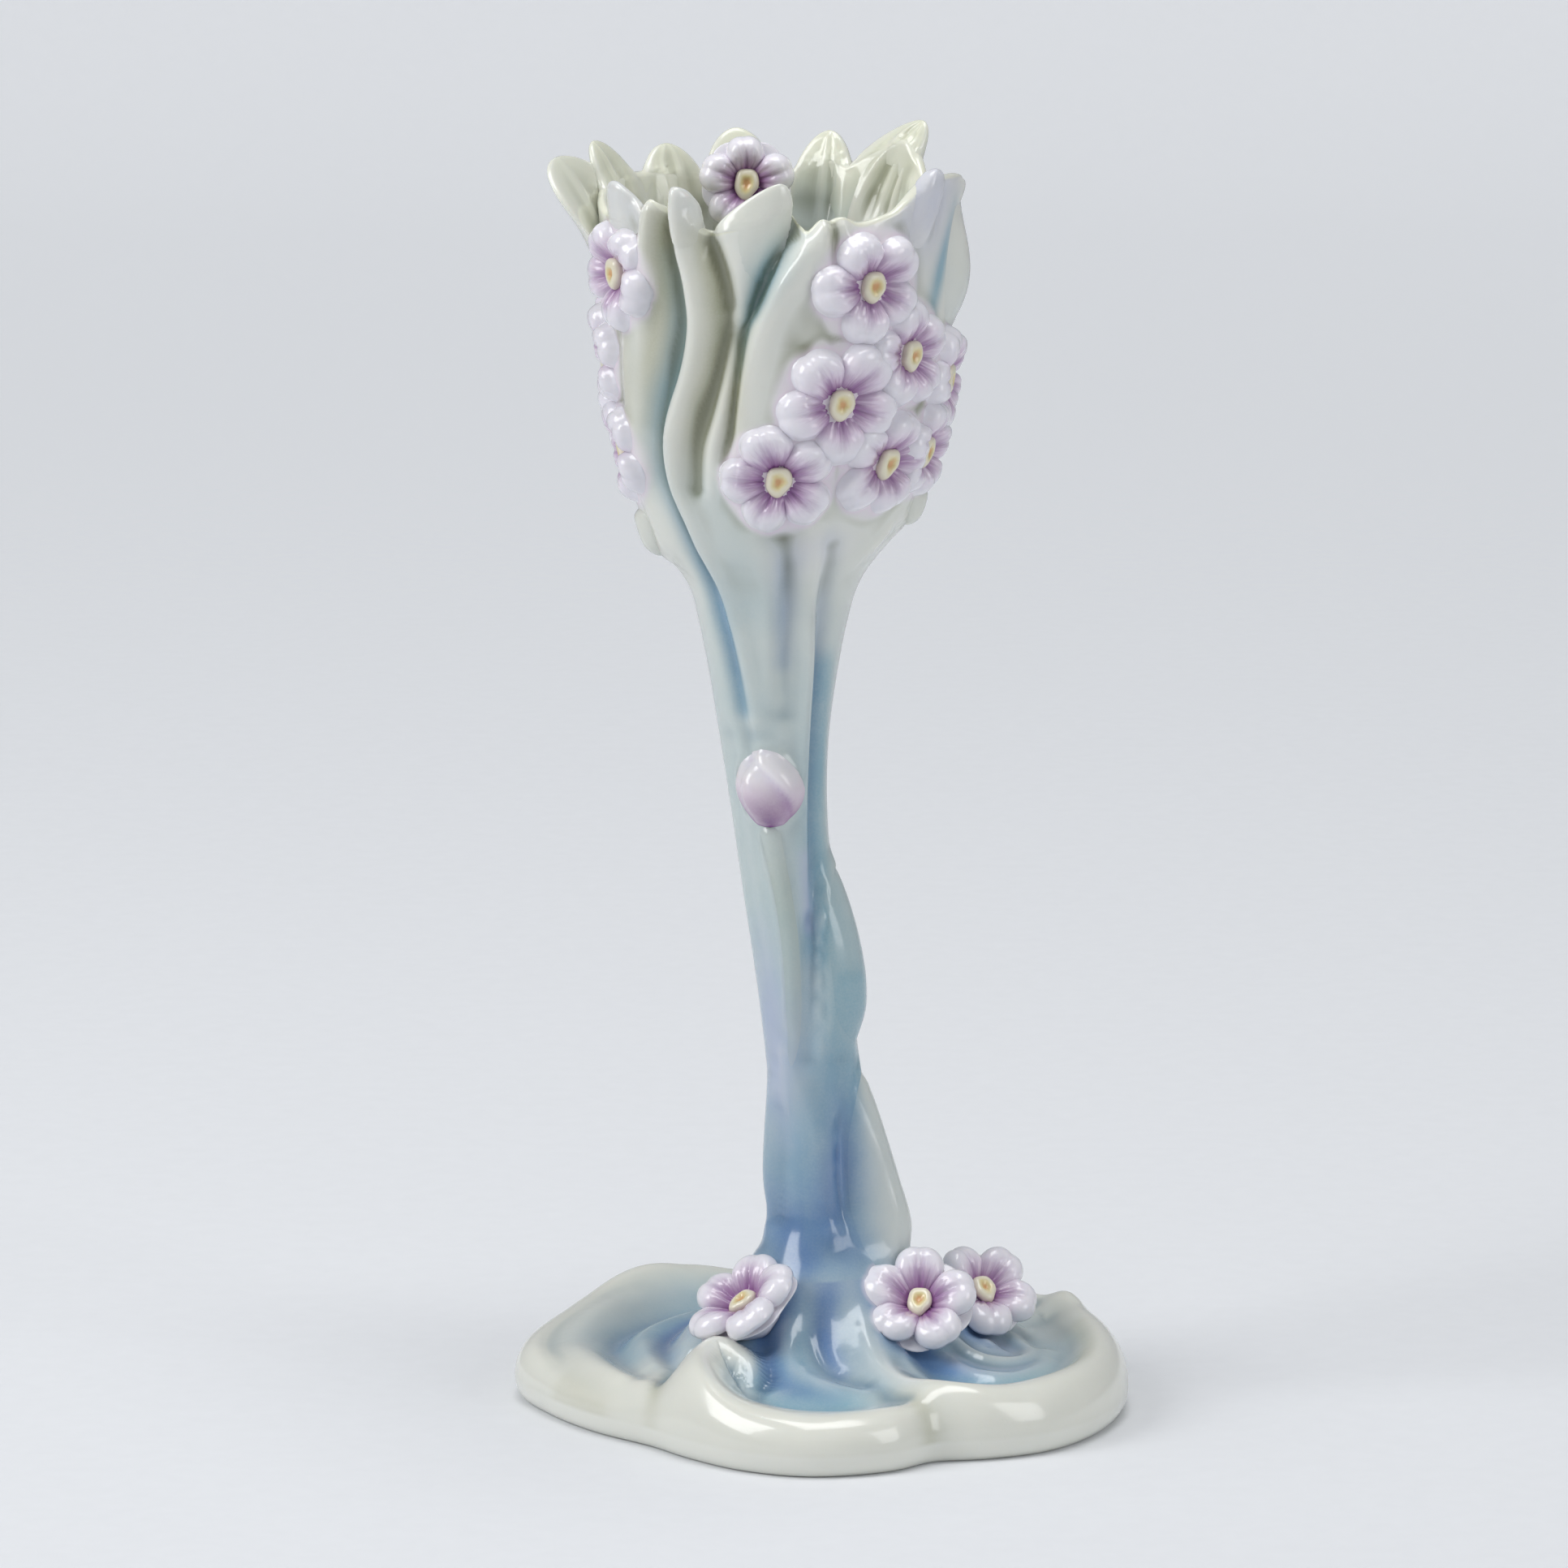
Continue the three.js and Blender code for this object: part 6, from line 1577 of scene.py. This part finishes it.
body_points, body_normals, body_faces = surface(grid_mesh("body", whole))
body_tree = BVHTree.FromPolygons(body_points.tolist(), body_faces)
count = whole.shape[0] * whole.shape[1]
push, body_close, petal_close = np.zeros(count), np.zeros(count), np.zeros(count)
body_other = np.zeros((count, 3))
for piece in [o for o in bpy.data.objects if o.name.endswith("_glazed")]:
    size = next(reach for start, reach in SLIP_SIZE if piece.name.startswith(start))
    if not size:
        continue
    points, normals, faces = surface(piece.data)
    tree = BVHTree.FromPolygons(points.tolist(), faces)
    inside = np.all((body_points[:count] > points.min(axis=0) - size)
                    & (body_points[:count] < points.max(axis=0) + size), axis=1)
    near = np.nonzero(inside)[0]
    close, corner, other = closeness(body_points[near], body_normals[near], tree, size)
    push[near] = np.maximum(push[near], SLIP_RISE * size * close**2 * corner)
    better = close > body_close[near]
    body_close[near[better]] = close[better]
    body_other[near[better]] = other[better]
    if piece.name.startswith("primrose_"):
        petal_close[near] = np.maximum(petal_close[near], close)
    close, corner, other = closeness(points, normals, body_tree, size)
    swell = SLIP_RISE * size * close**2 * corner
    if piece.data.name in GRID_SHAPES:
        shape = GRID_SHAPES[piece.data.name]
        swell, close, other = evened(swell, shape), evened(close, shape), evened(other, shape)
    piece.data.vertices.foreach_set("co", ((points + normals * swell[:, None]) * MM).ravel())
    piece.data.update()
    normals = merged(surface(piece.data)[1], other, close)
    piece.data.normals_split_custom_set_from_vertices(normals.tolist())
print("slip: the body swells by up to", round(push.max(), 2), "mm at", int((push > 0.01).sum()), "points")

# %% Base, stem and cup, cut from the one grid
PINK_BY_PETALS = 0.5  # the wall takes on this much of the petals' pink beside them
NECK_QUIET = 10  # glaze pools, and shade is painted, less within this distance of the joint of stem and cup
body_shape = whole.shape[:2]
push, body_close, body_other = (evened(values, body_shape, 6) for values in (push, body_close, body_other))
whole += (body_normals[:count] * push[:, None]).reshape(whole.shape)
whole_normals = merged(grid_normals(whole).reshape(-1, 3), body_other, body_close).reshape(whole.shape)
blank = np.zeros(under.shape[:2])
whole_masks = {
    name: np.concatenate([blank, top_masks[name], stem_masks[name], cup_masks[name]]) for name in top_masks}
petal_close = petal_close.reshape(whole.shape[:2])
pink = PINK_BY_PETALS * smoothstep(0.2, 0.9, petal_close)
whole_masks["petal"] = np.clip(whole_masks["petal"] + pink, 0, 1)
from_neck = np.abs(whole[..., 2] - CUP_FOOT)
whole_masks["hollow"] = hollows(whole, whole_normals) * smoothstep(0, NECK_QUIET, from_neck)


def cut_piece(name, first, last, material, slot, every=1):
    """A piece from rows first to last of the long grid, with every so many columns."""
    rows, columns = slice(first, last + 1), slice(None, None, every)
    masks = {key: values[rows, columns] for key, values in whole_masks.items()}
    mesh = grid_mesh(name, whole[rows, columns], masks, whole_normals[rows, columns])
    link(name + "_glazed", mesh, material, slot, name)
    print(name, len(mesh.polygons), "faces")


cut_piece("base", 0, base_end, water_glaze, "blue_glaze")
cut_piece("stem", base_end, stem_end, water_glaze, "blue_glaze", every=2)
cut_piece("cup", stem_end, len(whole) - 1, leaf_glaze, "ivory_glaze")

# %% [markdown]
# The photograph was taken with a long lens from a little above the rim. The floor is pale and plain and
# curves up into a backdrop. Large soft lamps stand left and right and hang above, and the world gives the
# even light of a white room. Glaze shows its form by the lamps' reflections, so the lamps are large.

# %% Camera
CAMERA_PLACE = (-0.0063, -1.5, 0.387)
CAMERA_PITCH = 10.565
FOCAL_LENGTH, SENSOR_WIDTH = 208.43, 36
camera_data = bpy.data.cameras.new("camera")
camera_data.lens = FOCAL_LENGTH
camera_data.sensor_width = SENSOR_WIDTH
camera = add_object("camera", camera_data)
camera.location = CAMERA_PLACE
camera.rotation_euler = (math.radians(90 - CAMERA_PITCH), 0, 0)
bpy.context.scene.camera = camera
print("camera at", CAMERA_PLACE, "focal length", FOCAL_LENGTH)


# %% Floor and backdrop
FLOOR_TONES = (223, 225, 228), (228, 230, 233)
FLOOR_EDGE = 4.0  # half the floor's width in metres
FLAT_TO, BEND_RADIUS, WALL_TOP = 1.6, 1.2, 4.0


def floor_finish():
    """Matt paper, slightly mottled. Far from the lamps it glows a little, so that its tone stays even."""
    material, wires = new_material("pale_floor")
    tone = wires.mix(wires.noise(220.0, 4, 0.6, wires.place()), *(rgb(*tone) for tone in FLOOR_TONES))
    far = wires.add("ShaderNodeSeparateXYZ", {0: wires.place()}).outputs["Y"]
    seen = wires.add("ShaderNodeLightPath").outputs["Is Camera Ray"]
    glow = wires.math("MULTIPLY", wires.step(far, -0.4, 2.2, 0.02, 0.5), seen)
    inputs = {"Roughness": 0.7, "Specular IOR Level": 0.2, "Base Color": tone, "Emission Color": tone,
              "Emission Strength": glow}
    for label, value in inputs.items():
        wires.feed(wires.nodes["Principled BSDF"].inputs[label], value)
    return material


def build_floor():
    """Floor that curves up into a backdrop."""
    profile = [(-3.0, 0.0), (-1.0, 0.0), (0.6, 0.0), (FLAT_TO, 0.0)]
    profile += [(FLAT_TO + BEND_RADIUS * math.sin(a), BEND_RADIUS * (1 - math.cos(a)))
                for a in np.linspace(0.1, math.pi / 2, 14)]
    profile += [(FLAT_TO + BEND_RADIUS, WALL_TOP)]
    vertices = [(x, y, z) for y, z in profile for x in (-FLOOR_EDGE, FLOOR_EDGE)]
    faces = [(2 * i, 2 * i + 1, 2 * i + 3, 2 * i + 2) for i in range(len(profile) - 1)]
    mesh = bpy.data.meshes.new("floor")
    mesh.from_pydata(vertices, [], faces)
    mesh.shade_smooth()
    mesh.materials.append(floor_finish())
    return add_object("floor", mesh)


floor = build_floor()
print("floor", len(floor.data.polygons), "faces")


# %% Lights
LAMPS = {  # place, aim, size in metres, power in watts
    "key": ((-1.15, -0.5, 0.95), (0, 0, 0.11), (0.7, 1.0), 11),
    "fill": ((1.15, -0.75, 0.6), (0, 0, 0.1), (0.55, 0.9), 4),
    "top": ((0.05, -0.1, 1.6), (0, 0, 0.12), (0.9, 0.9), 11),
}
ROOM_COLOUR, ROOM_STRENGTH = (0.92, 0.95, 1.0, 1), 0.3

for name, (place, aim, size, power) in LAMPS.items():
    data = bpy.data.lights.new(name, "AREA")
    data.shape = "RECTANGLE"
    data.size, data.size_y = size
    data.energy = power
    lamp = add_object(name, data)
    lamp.location = place
    way = np.array(aim) - np.array(place)
    way = way / np.linalg.norm(way)
    lamp.rotation_euler = (math.acos(-way[2]), 0, math.atan2(way[0], -way[1]) + math.pi)
world = bpy.data.worlds.new("white_room")
bpy.context.scene.world = world
world.use_nodes = True
background = world.node_tree.nodes["Background"]
background.inputs["Color"].default_value = ROOM_COLOUR
background.inputs["Strength"].default_value = ROOM_STRENGTH
bpy.context.scene.view_settings.view_transform = "Standard"
print("lamps", list(LAMPS))
